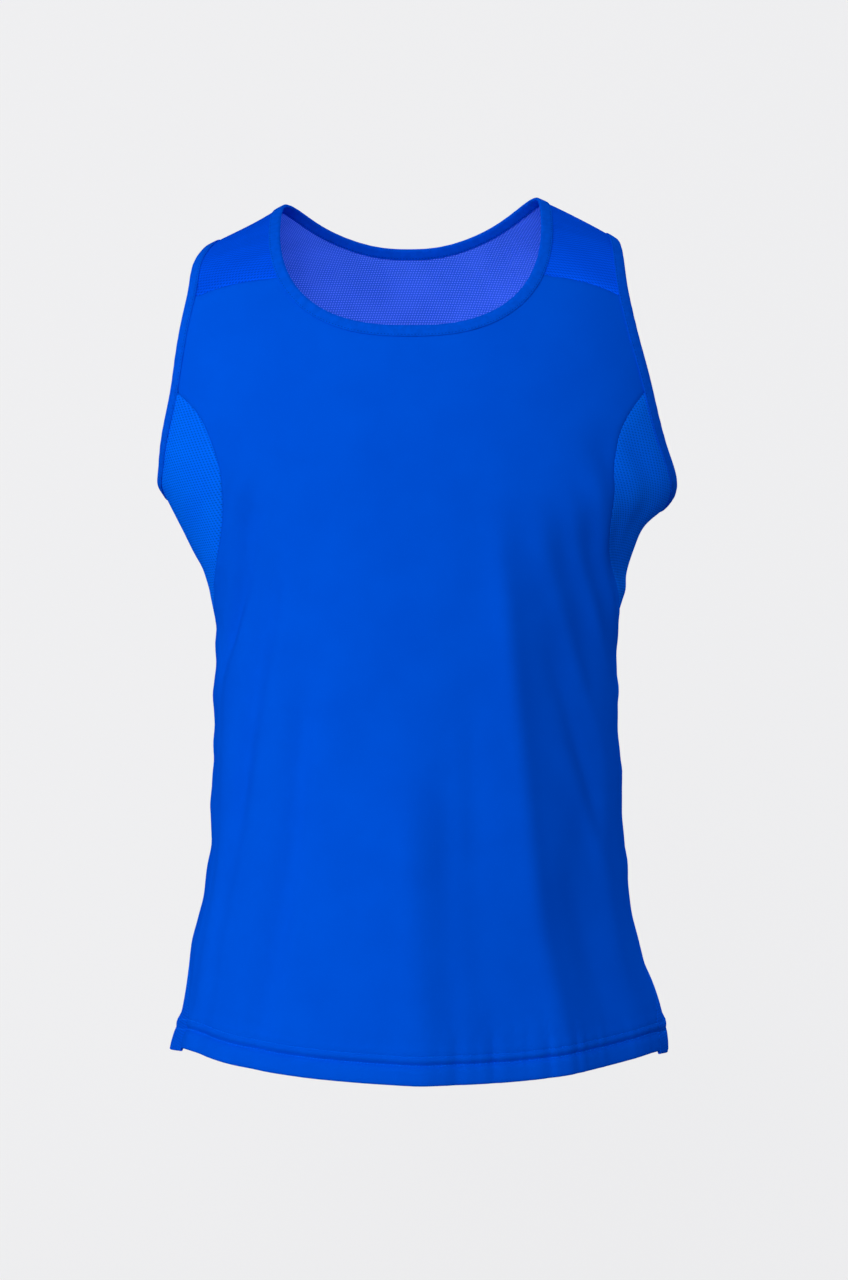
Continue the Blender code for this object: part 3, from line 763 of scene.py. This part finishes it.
def with_line(grid, last):
    """A grid with one more line of points just inside its left or right border."""
    grid = np.swapaxes(grid, 0, 1)
    edge, inner = (grid[-1], grid[-2]) if last else (grid[0], grid[1])
    step = inner - edge
    share = np.minimum(SEAM_EDGE / np.linalg.norm(step, axis=1, keepdims=True), 0.5)
    grid = np.insert(grid, len(grid) - 1 if last else 1, drape(edge + step * share), axis=0)
    return np.swapaxes(grid, 0, 1)


def creased(grid):
    """A grid with such a line inside both borders, for the creases along the seams."""
    return with_line(with_line(grid, False), True)


def with_station(edge, stations, last):
    """Stations with one more just inside one end, as with_line has it for a grid."""
    stations = stations[::-1] if last else stations
    line = edge.line(BOUND, stations[:2])
    share = min(SEAM_EDGE / np.linalg.norm(line[1] - line[0]), 0.5)
    stations = np.insert(stations, 1, stations[0] + (stations[1] - stations[0]) * share)
    return stations[::-1] if last else stations


def turns_from(start, points):
    """Turns of points, counted on from a first turn without a jump."""
    return start + half_turn(turns_of(points) - start)


def climb(left, right, top):
    """Grid from the hem's top line between two seams up to a line that ends at the seams' upper ends."""
    start = turns_of(left[:1])[0]
    left_turns = turns_from(start, left)
    right_turns = turns_from(start, right)
    even = np.linspace(0, 1, len(top))
    bottom = hem_line(left_turns[0] + (right_turns[0] - left_turns[0]) * even, HEM_TURN)

    def seam_turns(heights):
        return np.interp(heights, left[:, 2], left_turns), np.interp(heights, right[:, 2], right_turns)

    first, last = seam_turns(top[:, 2])
    uneven = (turns_from(start, top) - first) / (last - first)
    grid = np.empty((len(left), len(top), 3))
    for i, part in enumerate(even):
        level = left[:, 2] * (1 - part) + right[:, 2] * part
        rise = (level - level[0]) / (level[-1] - level[0])
        heights = level + (bottom[i, 2] - level[0]) * (1 - rise) + (top[i, 2] - level[-1]) * rise ** LEVELLING
        first, last = seam_turns(heights)
        share = part + (uneven[i] - part) * rise ** LEVELLING
        grid[:, i] = ring_points(first + (last - first) * share, heights)
    grid[:, 0], grid[:, -1], grid[0], grid[-1] = left, right, bottom, top
    return grid


def torso_grids(left, right, left_arm, right_arm, scoop):
    """Two grids of the front or back: from the hem to a level line under the arms, and on to the shoulders."""
    top = np.concatenate((
        between(left_arm[-1], scoop[0], STRAP_COLUMNS),
        scoop[1:],
        between(scoop[-1], right_arm[-1], STRAP_COLUMNS)[1:]))
    start = turns_of(left[:1])[0]
    ends = turns_from(start, np.array((left_arm[0], right_arm[0])))
    share = shares(top, top)
    chest = ring_points(
        ends[0] + (ends[1] - ends[0]) * share,
        left_arm[0, 2] + (right_arm[0, 2] - left_arm[0, 2]) * share)
    chest[0], chest[-1] = left_arm[0], right_arm[0]
    return climb(left, right, chest), span(chest, top, left_arm, right_arm)


def front_sheet():
    """The front ends at the forward shoulder seams."""
    trim = SEAM_GAP / 2
    neck = NECK.between(-NECK_SEAM, NECK_SEAM, NECK_COLUMNS, trim)
    arms = {}
    seams = {}
    for name in SIDE:
        arm = ARM[name].between(ARM_SHOULDER_SEAM, ARM_FRONT_SEAM[name], ARM_ROWS, trim)
        arms[name] = with_station(ARM[name], arm, False)[::-1]
        seams[name] = seam_side(FRONT_SEAM[name], trim, ARM[name], arms[name][:1])
    edges = [ARM[name].line(BOUND, arms[name]) for name in SIDE]
    lower, yoke = torso_grids(*seams.values(), *edges, NECK.line(BOUND, neck))
    lines = [(lower[:, 0], "end", "loose"), (lower[:, -1], "end")]
    lines += [(yoke[-1, :STRAP_COLUMNS + 1], "both"), (yoke[-1, -STRAP_COLUMNS - 1:], "both")]
    strips = [(NECK, neck)] + [(ARM[name], arms[name]) for name in SIDE]
    return Sheet(lines, (creased(lower), creased(yoke)), strips)


def back_sheet():
    """The back runs up behind the shoulders and, as two straps, over them to the forward seams."""
    neck = NECK.between(NECK_STRAP, 360 - NECK_STRAP, BACK_NECK_COLUMNS)
    collar = {
        "right": NECK.clear_of(360 - NECK_STRAP, 360 - NECK_SEAM, STRAP_ROWS, True),
        "left": NECK.clear_of(NECK_STRAP, NECK_SEAM, STRAP_ROWS, True),
    }
    arms = {}
    seams = {}
    straps = []
    strips = []
    for name, stations in collar.items():
        arm = ARM[name]
        collar[name] = with_station(NECK, stations, True)
        arms[name] = arm.clear_of(ARM_BACK_SEAM, ARM_STRAP, BACK_ARM_ROWS, False)
        over = with_station(arm, arm.clear_of(ARM_STRAP, 360 + ARM_SHOULDER_SEAM, STRAP_ROWS, True), True)
        seams[name] = seam_side(BACK_SEAM[name], -SEAM_GAP / 2, arm, arms[name][:1])
        ends = zip(arm.line(BOUND, over), NECK.line(BOUND, collar[name]))
        straps.append(np.array([between(start, end, STRAP_COLUMNS) for start, end in ends]))
        strips.append((arm, np.concatenate((arms[name], over[1:]))))
    edges = [ARM[name].line(BOUND, arms[name]) for name in ("left", "right")]
    lower, yoke = torso_grids(seams["left"], seams["right"], *edges, NECK.line(BOUND, neck))
    lines = [(lower[:, 0], "end"), (lower[:, -1], "end")] + [(strap[-1], "both") for strap in straps]
    grids = [creased(lower), creased(yoke)] + [with_line(strap, False) for strap in straps]
    strips.append((NECK, np.concatenate((collar["left"][::-1], neck[1:-1], collar["right"]))))
    return Sheet(lines, grids, strips, back=True)


def side_sheet(name):
    """A side insert, from the hem up to the foot of the armhole."""
    trim = SEAM_GAP / 2
    arm = ARM[name].between(ARM_FRONT_SEAM[name], ARM_BACK_SEAM, SIDE_PANEL_COLUMNS, trim)
    front = seam_side(FRONT_SEAM[name], -trim, ARM[name], arm[:1])
    back = seam_side(BACK_SEAM[name], trim, ARM[name], arm[-1:])
    grid = climb(front, back, ARM[name].line(BOUND, arm))
    foot = ("loose",) if name == "right" else ()
    lines = [(grid[:, 0], "end", *foot), (grid[:, -1], "end")]
    return Sheet(lines, [creased(grid)], [(ARM[name], arm)], kick=SIDE_HEM_KICK, drop=SIDE_HEM_DROP)


# Meshes

def grid_faces(rows, columns):
    """Four-sided faces over a grid of numbered points, row by row."""
    corner = np.arange(rows - 1)[:, None] * columns + np.arange(columns - 1)
    return np.stack((corner, corner + 1, corner + columns + 1, corner + columns), axis=-1).reshape(-1, 4)


def mesh_from(name, parts, weld, places=None):
    """One smooth mesh of parts, each its points and faces, joined where they meet.

    Places of the points on the cloth, in metres, become a UV map, and the mesh then faces outward.
    """
    firsts = np.cumsum([0] + [len(points) for points, _ in parts])
    faces = np.concatenate([faces + first for (_, faces), first in zip(parts, firsts)])
    data = bpy.data.meshes.new(name)
    data.from_pydata(np.concatenate([points for points, _ in parts]).tolist(), [], faces.tolist())
    if places is not None:
        data.uv_layers.new(name="Cloth").data.foreach_set("uv", places[faces.ravel()].ravel())
    work = bmesh.new()
    work.from_mesh(data)
    bmesh.ops.remove_doubles(work, verts=work.verts, dist=weld)
    bmesh.ops.recalc_face_normals(work, faces=work.faces)
    if places is not None:
        middles = np.array([face.calc_center_median() for face in work.faces])
        normals = np.array([face.normal for face in work.faces])
        if (outward(middles) * normals).sum() < 0:
            bmesh.ops.reverse_faces(work, faces=work.faces)
    work.to_mesh(data)
    work.free()
    data.shade_smooth()
    return data


def mesh_of(name, grids):
    """One mesh of grids of points with their places on the cloth."""
    parts = [(points.reshape(-1, 3), grid_faces(*points.shape[:2])) for points, _ in grids]
    return mesh_from(name, parts, WELD, np.concatenate([places.reshape(-1, 2) for _, places in grids]))


def piece(name, data, materials, slot, *nodes):
    """An object of the singlet, which rides with the root body and may stand for CAD nodes."""
    for material in materials:
        data.materials.append(material)
    made = bpy.data.objects.new(name, data)
    bpy.context.collection.objects.link(made)
    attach(made, "root")
    if nodes:
        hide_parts(*nodes)
    return made


def thicken(made, thickness, inner=0):
    """Give a piece its thickness, half on either side, and for its inner face that material of its own."""
    wall = made.modifiers.new("Wall", "SOLIDIFY")
    wall.thickness = thickness
    wall.offset = 0
    wall.material_offset = inner
    return made


# Tape

LEAF = WALL / 2 + 0.1 * MM + TAPE / 2       # middle of one leaf of the tape, off the panel's middle
TAPE_SECTION = (0.0, 0.35, 0.8, 1.3, 1.8, 2.6, 3.8, 5.0, 6.2)   # millimetres over a leaf from its free edge
TAPE_STITCH = 1.3 * MM          # from the free edge to the stitches
TAPE_GROOVE = 0.25 * MM
TAPE_GROOVE_WIDTH = 0.5 * MM
TAPE_LIP = 0.45 * MM            # how far the free edge is drawn down
TAPE_LIP_WIDTH = 0.4 * MM
TAPE_STEP = 1.1 * MM
TAPE_RIPPLE = 0.10 * MM


def tape_lift(along, phase):
    """How the tape ripples on its way round, in whole waves."""
    share = along / along[-1] * 2 * np.pi

    def wave(length, start):
        return np.sin(share * round(along[-1] / length) + start)

    short = wave(12 * MM, phase) * (0.5 + 0.5 * wave(82 * MM, 2 * phase))
    return TAPE_RIPPLE * (short + wave(52 * MM, 3 * phase))


def tape_grid(edge, phase, width):
    """Points of the folded tape's middle: outer leaf, fold and inner leaf, all the way round."""
    count = int(travelled(edge.line(0, edge.between(0, 360, 400)))[-1] / TAPE_STEP)
    stations = edge.between(0, 360, count)
    over = [(width - place * MM, LEAF) for place in TAPE_SECTION]
    fold = [(LEAF * (1 - np.cos(a)), LEAF * np.sin(a)) for a in np.radians(np.linspace(75, -75, 6))]
    under = [(place, -out) for place, out in over[::-1]]
    along = travelled(edge.line(0, stations))
    rows = []
    places = []
    for place, out in over + fold + under:
        base = edge.line(place, stations)
        groove = TAPE_GROOVE * bell(width - place - TAPE_STITCH, TAPE_GROOVE_WIDTH)
        lip = TAPE_LIP * bell(width - place, TAPE_LIP_WIDTH)
        lift = relief(base) + tape_lift(along, phase) + out - np.sign(out) * (groove + lip)
        rows.append(base + outward(base) * lift[:, None])
        across = place if out > 0 else -place
        places.append(np.column_stack((np.full(len(base), across), along)))
    return np.array(rows), np.array(places)


# Stitches

STITCH_SIDES = 5
STITCH_RINGS = ((-1.0, 0.0), (-0.72, 0.8), (0.0, 1.0), (0.72, 0.8), (1.0, 0.0))     # place along it and girth
STITCH_SAG = 0.35               # how far its ends sink in, as a share of its thickness


def stitches(line, raised, pitch, length, thickness, slant=0.0):
    """Points and faces of a row of short threads along a line of points that lie on the cloth."""
    length_along = travelled(line)
    count = int(length_along[-1] / pitch)
    wanted = (np.arange(count) + 0.5) * length_along[-1] / count
    middle = read_off(line, length_along, wanted)
    ahead = read_off(line, length_along, wanted + length / 2) - read_off(line, length_along, wanted - length / 2)
    ahead /= np.linalg.norm(ahead, axis=1, keepdims=True)
    up = outward(middle)
    aside = np.cross(up, ahead)
    ahead, aside = (
        ahead * np.cos(slant) + aside * np.sin(slant),
        aside * np.cos(slant) - ahead * np.sin(slant))
    rings = []
    for along, girth in STITCH_RINGS:
        sink = raised - thickness * STITCH_SAG * along ** 2
        spread = girth * thickness / 2
        for angle in np.arange(STITCH_SIDES) * 2 * np.pi / STITCH_SIDES:
            out = sink + spread * np.sin(angle)
            rings.append(middle + ahead * along * length / 2 + aside * spread * np.cos(angle) + up * out)
    points = np.array(rings).transpose(1, 0, 2).reshape(-1, 3)
    faces = []
    for low in range(0, len(rings) - STITCH_SIDES, STITCH_SIDES):
        for side in range(STITCH_SIDES):
            after = (side + 1) % STITCH_SIDES
            faces.append((low + side, low + after, low + STITCH_SIDES + after, low + STITCH_SIDES + side))
    return points, (np.arange(count)[:, None, None] * len(rings) + np.array(faces)).reshape(-1, 4)


def stitch_piece(name, rows, slot, material):
    return piece(name, mesh_from(name, rows, WELD / 10), [material], slot)


# Materials

class Graph:
    """A material's node graph. Its methods give the sockets that carry their results."""

    def __init__(self, name):
        self.material = bpy.data.materials.new(name)
        self.material.use_nodes = True
        self.tree = self.material.node_tree
        self.shader = self.tree.nodes["Principled BSDF"]

    def fill(self, made, inputs):
        """Set a node's inputs to plain values, or link other nodes' outputs to them."""
        for key, value in inputs.items():
            if isinstance(value, bpy.types.NodeSocket):
                self.tree.links.new(value, made.inputs[key])
            else:
                made.inputs[key].default_value = value

    def add(self, kind, inputs, **settings):
        made = self.tree.nodes.new(kind)
        for key, value in settings.items():
            setattr(made, key, value)
        self.fill(made, inputs)
        return made

    def math(self, operation, *values):
        return self.add("ShaderNodeMath", dict(enumerate(values)), operation=operation).outputs[0]

    def sum(self, first, weight, second, other_weight):
        return self.math("MULTIPLY_ADD", first, weight, self.math("MULTIPLY", second, other_weight))

    def ribs(self, place, spacing):
        return self.math("SINE", self.math("MULTIPLY", place, 2 * np.pi / spacing))

    def between(self, value, low, high, start, end):
        inputs = {"Value": value, "From Min": low, "From Max": high, "To Min": start, "To Max": end}
        return self.add("ShaderNodeMapRange", inputs, interpolation_type="SMOOTHSTEP").outputs["Result"]

    def cloth_place(self):
        """Metres across and up the cloth."""
        place = self.add("ShaderNodeUVMap", {}, uv_map="Cloth").outputs["UV"]
        split = self.add("ShaderNodeSeparateXYZ", {"Vector": place})
        return place, split.outputs["X"], split.outputs["Y"]

    def noise(self, place, size, detail=2.0):
        inputs = {"Vector": place, "Scale": 1 / size, "Detail": detail}
        return self.add("ShaderNodeTexNoise", inputs, noise_dimensions="3D").outputs["Fac"]

    def colour(self, share, first, second):
        """From one colour to another, each of them plain or another node's."""
        ends = [c if isinstance(c, bpy.types.NodeSocket) else (*c, 1.0) for c in (first, second)]
        return self.add("ShaderNodeMix", dict(zip((0, 6, 7), (share, *ends))), data_type="RGBA").outputs[2]

    def bump(self, height, distance, strength=1.0, below=None):
        inputs = {"Height": height, "Distance": distance, "Strength": strength}
        if below is not None:
            inputs["Normal"] = below
        return self.add("ShaderNodeBump", inputs).outputs["Normal"]

    def cloth(self, colour, roughness, normal):
        """The finished material: matt, with no gloss but what the cloth's own loops give."""
        self.fill(self.shader, {
            "Base Color": colour,
            "Roughness": roughness,
            "Normal": normal,
            "IOR": 1.35,
            "Specular IOR Level": 0.0,
        })
        return self.material


def satin_knit(name, deep, bright):
    """Smooth-faced knit: fine upright wales and a faint mottle."""
    graph = Graph(name)
    place, across, up = graph.cloth_place()
    mottle = graph.noise(place, 45 * MM)
    fine = graph.noise(place, 1.1 * MM, 1.0)
    blend = graph.sum(mottle, 0.6, fine, 0.4)
    loop = graph.sum(graph.ribs(across, WALE), 0.65, graph.ribs(up, COURSE), 0.35)
    shade = graph.math("MULTIPLY_ADD", loop, 0.07, graph.between(blend, 0.3, 0.7, 0.12, 0.88))
    soft = graph.bump(graph.noise(place, 30 * MM, 1.0), 0.6 * MM, 0.5)
    return graph.cloth(
        graph.colour(shade, deep, bright),
        graph.between(blend, 0.25, 0.75, 0.38, 0.46),
        graph.bump(loop, 0.03 * MM, 0.4, soft))


def mesh_knit(name, deep, bright, hole, darkness, pitch, row_step, doubled=0.0):
    """Knit with small eyelets, that far apart across and up, in staggered rows.

    Below the height called doubled it takes on a deeper colour, which fades back over LOW_SIDE_FADE above it: darker
    towards the hem.
    """
    graph = Graph(name)
    place, across, up = graph.cloth_place()
    drift = graph.add("ShaderNodeTexNoise", {"Vector": place, "Scale": 1 / (60 * MM)}).outputs["Color"]
    shift = graph.add("ShaderNodeSeparateXYZ", {"Vector": drift})
    across = graph.math("MULTIPLY_ADD", shift.outputs["X"], 0.5 * MM, across)
    up = graph.math("MULTIPLY_ADD", shift.outputs["Y"], 0.5 * MM, up)
    level = graph.math("MULTIPLY", up, 2 * np.pi / row_step)
    row = graph.math("MULTIPLY_ADD", level, EYELET_STAGGER, graph.math("MULTIPLY", across, 2 * np.pi / pitch))
    lattice = graph.math("ADD", graph.math("COSINE", row), graph.math("COSINE", level))
    eyelet = graph.between(lattice, 0.35, 1.15, 0.0, 1.0)
    mottle = graph.noise(place, 40 * MM)
    knitted = graph.colour(graph.between(mottle, 0.3, 0.7, 0.0, 1.0), deep, bright)
    if doubled:
        knitted = graph.colour(graph.between(up, doubled, doubled + LOW_SIDE_FADE, 1.0, 0.0), knitted, LOW_SIDE_MESH)
    soft = graph.bump(graph.noise(place, 26 * MM, 1.0), 0.6 * MM, 0.5)
    return graph.cloth(
        # The eyelets are painted in the colour called hole: painted shade on an outer face, painted light on the
        # inner face
        graph.colour(graph.math("MULTIPLY", eyelet, darkness), knitted, hole),
        0.58,
        graph.bump(graph.math("MULTIPLY", eyelet, -1.0), 0.2 * MM, 0.6, soft))


def tape_knit(name, deep, bright):
    """Folded jersey tape: fine ribs along it."""
    graph = Graph(name)
    place, across, along = graph.cloth_place()
    weave = graph.sum(graph.ribs(across, TAPE_RIB), 0.5, graph.ribs(along, TAPE_RIB), 0.3)
    mottle = graph.between(graph.noise(place, 5 * MM), 0.3, 0.7, 0.15, 0.85)
    shade = graph.math("MULTIPLY_ADD", weave, 0.2, mottle)
    return graph.cloth(graph.colour(shade, deep, bright), 0.55, graph.bump(weave, 0.06 * MM, 0.7))


def thread(name, deep, bright):
    graph = Graph(name)
    place = graph.add("ShaderNodeTexCoord", {}).outputs["Object"]
    twist = graph.bump(graph.noise(place, 0.2 * MM), 0.05 * MM, 0.6)
    return graph.cloth(graph.colour(graph.noise(place, 3 * MM), deep, bright), 0.45, twist)


WALE = 0.62 * MM                # spacing of the satin knit's upright lines
COURSE = 0.9 * MM               # and of its rows
EYELET_STAGGER = 0.3            # share of its pitch by which each row of the mesh's eyelets is shifted
# Side mesh at and below its doubled hem: a deeper colour that fades out above it, so darker towards the hem
LOW_SIDE_MESH = (0.0, 0.095, 0.80)
LOW_SIDE_FADE = 70 * MM
TAPE_RIB = 0.8 * MM
SIDE_TURN = np.array([90.0])
SIDE_HEM_TOP = fabric(hem_line(SIDE_TURN, HEM_TURN - SIDE_HEM_DROP), False)[0, 1]   # height of the doubled hem

FRONT_KNIT = satin_knit("Front knit", (0.0, 0.086, 0.715), (0.0, 0.096, 0.765))
# Outer faces of the mesh: their dark eyelets are painted shade of the garment's inside, seen through them
BACK_MESH = mesh_knit(
    "Back mesh", (0.0, 0.080, 0.80), (0.0, 0.088, 0.86), (0.0, 0.028, 0.38), 0.6, 2.5 * MM, 2.7 * MM)
# The side inserts' mesh is lighter than the back's: painted sheen, where the light catches them
SIDE_MESH_SHEEN = mesh_knit(
    "Side mesh, painted sheen", (0.0, 0.142, 0.98), (0.0, 0.155, 1.0), (0.0, 0.055, 0.48), 0.65, 3.2 * MM, 2.15 * MM, SIDE_HEM_TOP)
# Inner face of the mesh: its pale eyelets are painted light, from behind, shining through them
INNER_MESH = mesh_knit(
    "Mesh, inner face", (0.018, 0.088, 0.62), (0.024, 0.100, 0.68), (0.10, 0.20, 1.0), 0.8, 2.3 * MM, 2.1 * MM)
TAPE_KNIT = tape_knit("Binding tape", (0.0, 0.082, 0.68), (0.0, 0.100, 0.78))
THREAD = thread("Thread", (0.0, 0.15, 0.92), (0.004, 0.20, 1.0))
# The tapes' threads: the same thread in painted shade, for their lying in the tape's groove
DARK_THREAD = thread("Thread in shade", (0.0, 0.030, 0.32), (0.0, 0.046, 0.44))

# The singlet's pieces

SHEETS = {
    "front_cloth": front_sheet(),
    "back_cloth": back_sheet(),
    "side_cloth_right": side_sheet("right"),
    "side_cloth_left": side_sheet("left"),
}
FACES = {                               # outer cloth, inner face and slot
    "front": (FRONT_KNIT, FRONT_KNIT, "front_knit"),
    "back": (BACK_MESH, INNER_MESH, "mesh_knit"),
    "side": (SIDE_MESH_SHEEN, INNER_MESH, "mesh_knit"),
}
cloths = {}
for name, sheet in SHEETS.items():
    *faces, slot = FACES[name.split("_")[0]]
    made = piece(name, mesh_of(name, sheet.grids), faces, slot, name.replace("cloth", "panel"))
    cloths[name] = thicken(made, WALL, 1)

TAPES = {                               # edge, start of the ripples, and width
    "neck_tape": (NECK, 0.3, 9.2 * MM),
    "armhole_tape_right": (ARM["right"], 1.7, 8.2 * MM),
    "armhole_tape_left": (ARM["left"], 3.1, 10.2 * MM),
}
tapes = {}
for name, (edge, phase, width) in TAPES.items():
    data = mesh_of(name, [tape_grid(edge, phase, width)])
    tapes[name] = thicken(piece(name, data, [TAPE_KNIT], "binding_tape", name.replace("tape", "binding")), TAPE)

ON_CLOTH = WALL / 2 - 0.02 * MM         # how far the threads lie off the cloth's middle
ON_TAPE = LEAF + TAPE / 2 - TAPE_GROOVE
# Spacing, length, thickness and slant of the threads in the hem's two rows, and the first three in a tape's
HEM_THREADS = ((2.6 * MM, 2.3 * MM), (1.7 * MM, 1.1 * MM), (0.62 * MM, 0.66 * MM), (0.45, 0.0))
TAPE_THREADS = (2.7 * MM, 1.7 * MM, 0.55 * MM)
HEM_ROW_POINTS = 900            # points of the line along which a panel's hem threads are laid
TAPE_ROW_POINTS = 1400          # and a tape's


def hem_row(above, pitch, length, thickness, slant):
    """A row of threads round the whole hem, panel by panel."""
    rows = []
    for name, start, end in HEM_PANELS:
        line = SHEETS[name].line_at(np.linspace(start, end, HEM_ROW_POINTS), above)
        rows.append(stitches(line, ON_CLOTH, pitch, length, thickness, slant))
    return rows


def tape_row(edge, phase, width):
    """The threads along a tape, on both of its leaves."""
    stations = edge.between(0, 360, TAPE_ROW_POINTS)
    base = edge.line(width - TAPE_STITCH, stations)
    along = travelled(edge.line(0, stations))
    line = base + outward(base) * (relief(base) + tape_lift(along, phase))[:, None]
    return [stitches(line, raised, *TAPE_THREADS) for raised in (ON_TAPE, -ON_TAPE)]


def foot_turns(name):
    """Turns between which a panel's hem lies, counted on past the back."""
    foot = drape(SHEETS[name].grids[0][0][0][[0, -1]])
    return turns_from(turns_of(foot)[0], foot)


HEM_PANELS = [(name, *foot_turns(name)) for name in (
    "front_cloth", "side_cloth_right", "side_cloth_left", "back_cloth")]
hem_rows = [row for places in zip(HEM_STITCHES, *HEM_THREADS) for row in hem_row(*places)]
hem_thread = stitch_piece("hem_stitches", hem_rows, "front_knit", THREAD)
neck_thread = stitch_piece("neck_stitches", tape_row(*TAPES["neck_tape"]), "binding_tape", DARK_THREAD)
arm_threads = {}
for name in SIDE:
    arm_threads[name] = stitch_piece(
        "armhole_stitches_" + name, tape_row(*TAPES["armhole_tape_" + name]), "binding_tape", DARK_THREAD)


# Stage

FLOOR = -1.42                   # height of the floor
FLOOR_FRONT = -4.0
BACKDROP = 2.6                  # how far behind the origin the wall stands
BACKDROP_TOP = 3.2
BACKDROP_HALF = 5.0             # half its width
BEND = 1.2                      # radius between floor and wall
SURROUND = 9.0                  # radius of the paper far out
AIM = (0.0, 0.0, -0.35)         # middle of the singlet


def paper_material():
    graph = Graph("Backdrop paper")
    place = graph.add("ShaderNodeTexCoord", {}).outputs["Object"]
    graph.fill(graph.shader, {
        "Base Color": (0.12, 0.12, 0.12, 1.0),
        "Roughness": 0.9,
        "IOR": 1.2,
        "Emission Color": (0.985, 0.99, 1.0, 1.0),
        "Emission Strength": 0.80,
        "Normal": graph.bump(graph.noise(place, 0.02), 0.001, 0.2),
    })
    return graph.material


def stand(name, points):
    """Paper round the singlet, over a grid of points, which sends no light on to it."""
    data = bpy.data.meshes.new(name)
    data.from_pydata(points.reshape(-1, 3).tolist(), [], grid_faces(*points.shape[:2])[:, ::-1].tolist())
    data.shade_smooth()
    data.materials.append(PAPER)
    made = bpy.data.objects.new(name, data)
    made.visible_diffuse = False
    made.visible_glossy = False
    bpy.context.collection.objects.link(made)
    return made


def backdrop():
    """A pale floor that curves up into a wall."""
    bend = np.linspace(0, np.pi / 2, 17)
    curve = zip(BACKDROP - BEND + BEND * np.sin(bend), FLOOR + BEND - BEND * np.cos(bend))
    profile = [(FLOOR_FRONT, FLOOR), *curve, (BACKDROP, BACKDROP_TOP)]
    return stand("Backdrop", np.array([[(x, y, z) for x in (-BACKDROP_HALF, BACKDROP_HALF)] for y, z in profile]))


def surround():
    """The same paper far out on all sides, which only the camera meets."""
    turns, heights = np.meshgrid(np.radians(np.linspace(0, 360, 49)), np.radians(np.arange(-86, 87, 8.6)))
    level = np.cos(heights)
    points = SURROUND * np.stack((level * np.cos(turns), level * np.sin(turns), np.sin(heights)), 2)
    stand("Surround", points).visible_shadow = False


def group(name, *members):
    """A collection of its own for a light's reach."""
    made = bpy.data.collections.new(name)
    for member in members:
        made.objects.link(member)
    return made


def area_light(name, place, size, power, target=AIM, only=(), shade=None):
    """A soft light, which may reach only some pieces and be held back by one only."""
    data = bpy.data.lights.new(name, "AREA")
    data.shape = "RECTANGLE"
    data.size = data.size_y = size
    data.energy = power
    made = bpy.data.objects.new(name, data)
    made.visible_camera = False
    if only:
        made.light_linking.receiver_collection = group(f"{name} reaches", *only)
    if shade:
        made.light_linking.blocker_collection = group(f"{name} stops at", shade)
    made.location = place
    made.rotation_euler = (Vector(target) - Vector(place)).to_track_quat("-Z", "Y").to_euler()
    bpy.context.collection.objects.link(made)


PAPER = paper_material()
wall = backdrop()
surround()
area_light("Front", (-0.56, -4.48, 1.29), 1.9, 95.0)
area_light("Key", (-3.19, -3.19, 1.29), 1.9, 46.0)
area_light("Side", (-4.49, -1.63, -0.75), 1.9, 54.0)
back = cloths["back_cloth"]
area_light("Lining", (0.75, -1.1, -1.2), 0.5, 13.2, target=(0.0, 0.08, -0.04), only=[back], shade=wall)
singlet = (*cloths.values(), *tapes.values(), hem_thread, neck_thread, *arm_threads.values())
area_light("Behind", (1.2, 1.75, 0.9), 1.1, 34.0, only=singlet)

scene = bpy.context.scene
world = bpy.data.worlds.new("Studio")
world.use_nodes = True
world.node_tree.nodes["Background"].inputs["Color"].default_value = (1.0, 0.88, 1.0, 1.0)
world.node_tree.nodes["Background"].inputs["Strength"].default_value = 0.26
scene.world = world
scene.view_settings.view_transform = "Standard"

camera_data = bpy.data.cameras.new("Camera")
camera_data.lens = 66.8
camera_data.sensor_width = 36.0
camera = bpy.data.objects.new("Camera", camera_data)
camera.location = (0.005, -2.0, -0.352)
camera.rotation_euler = (np.pi / 2, 0.0, 0.0)
bpy.context.collection.objects.link(camera)
scene.camera = camera
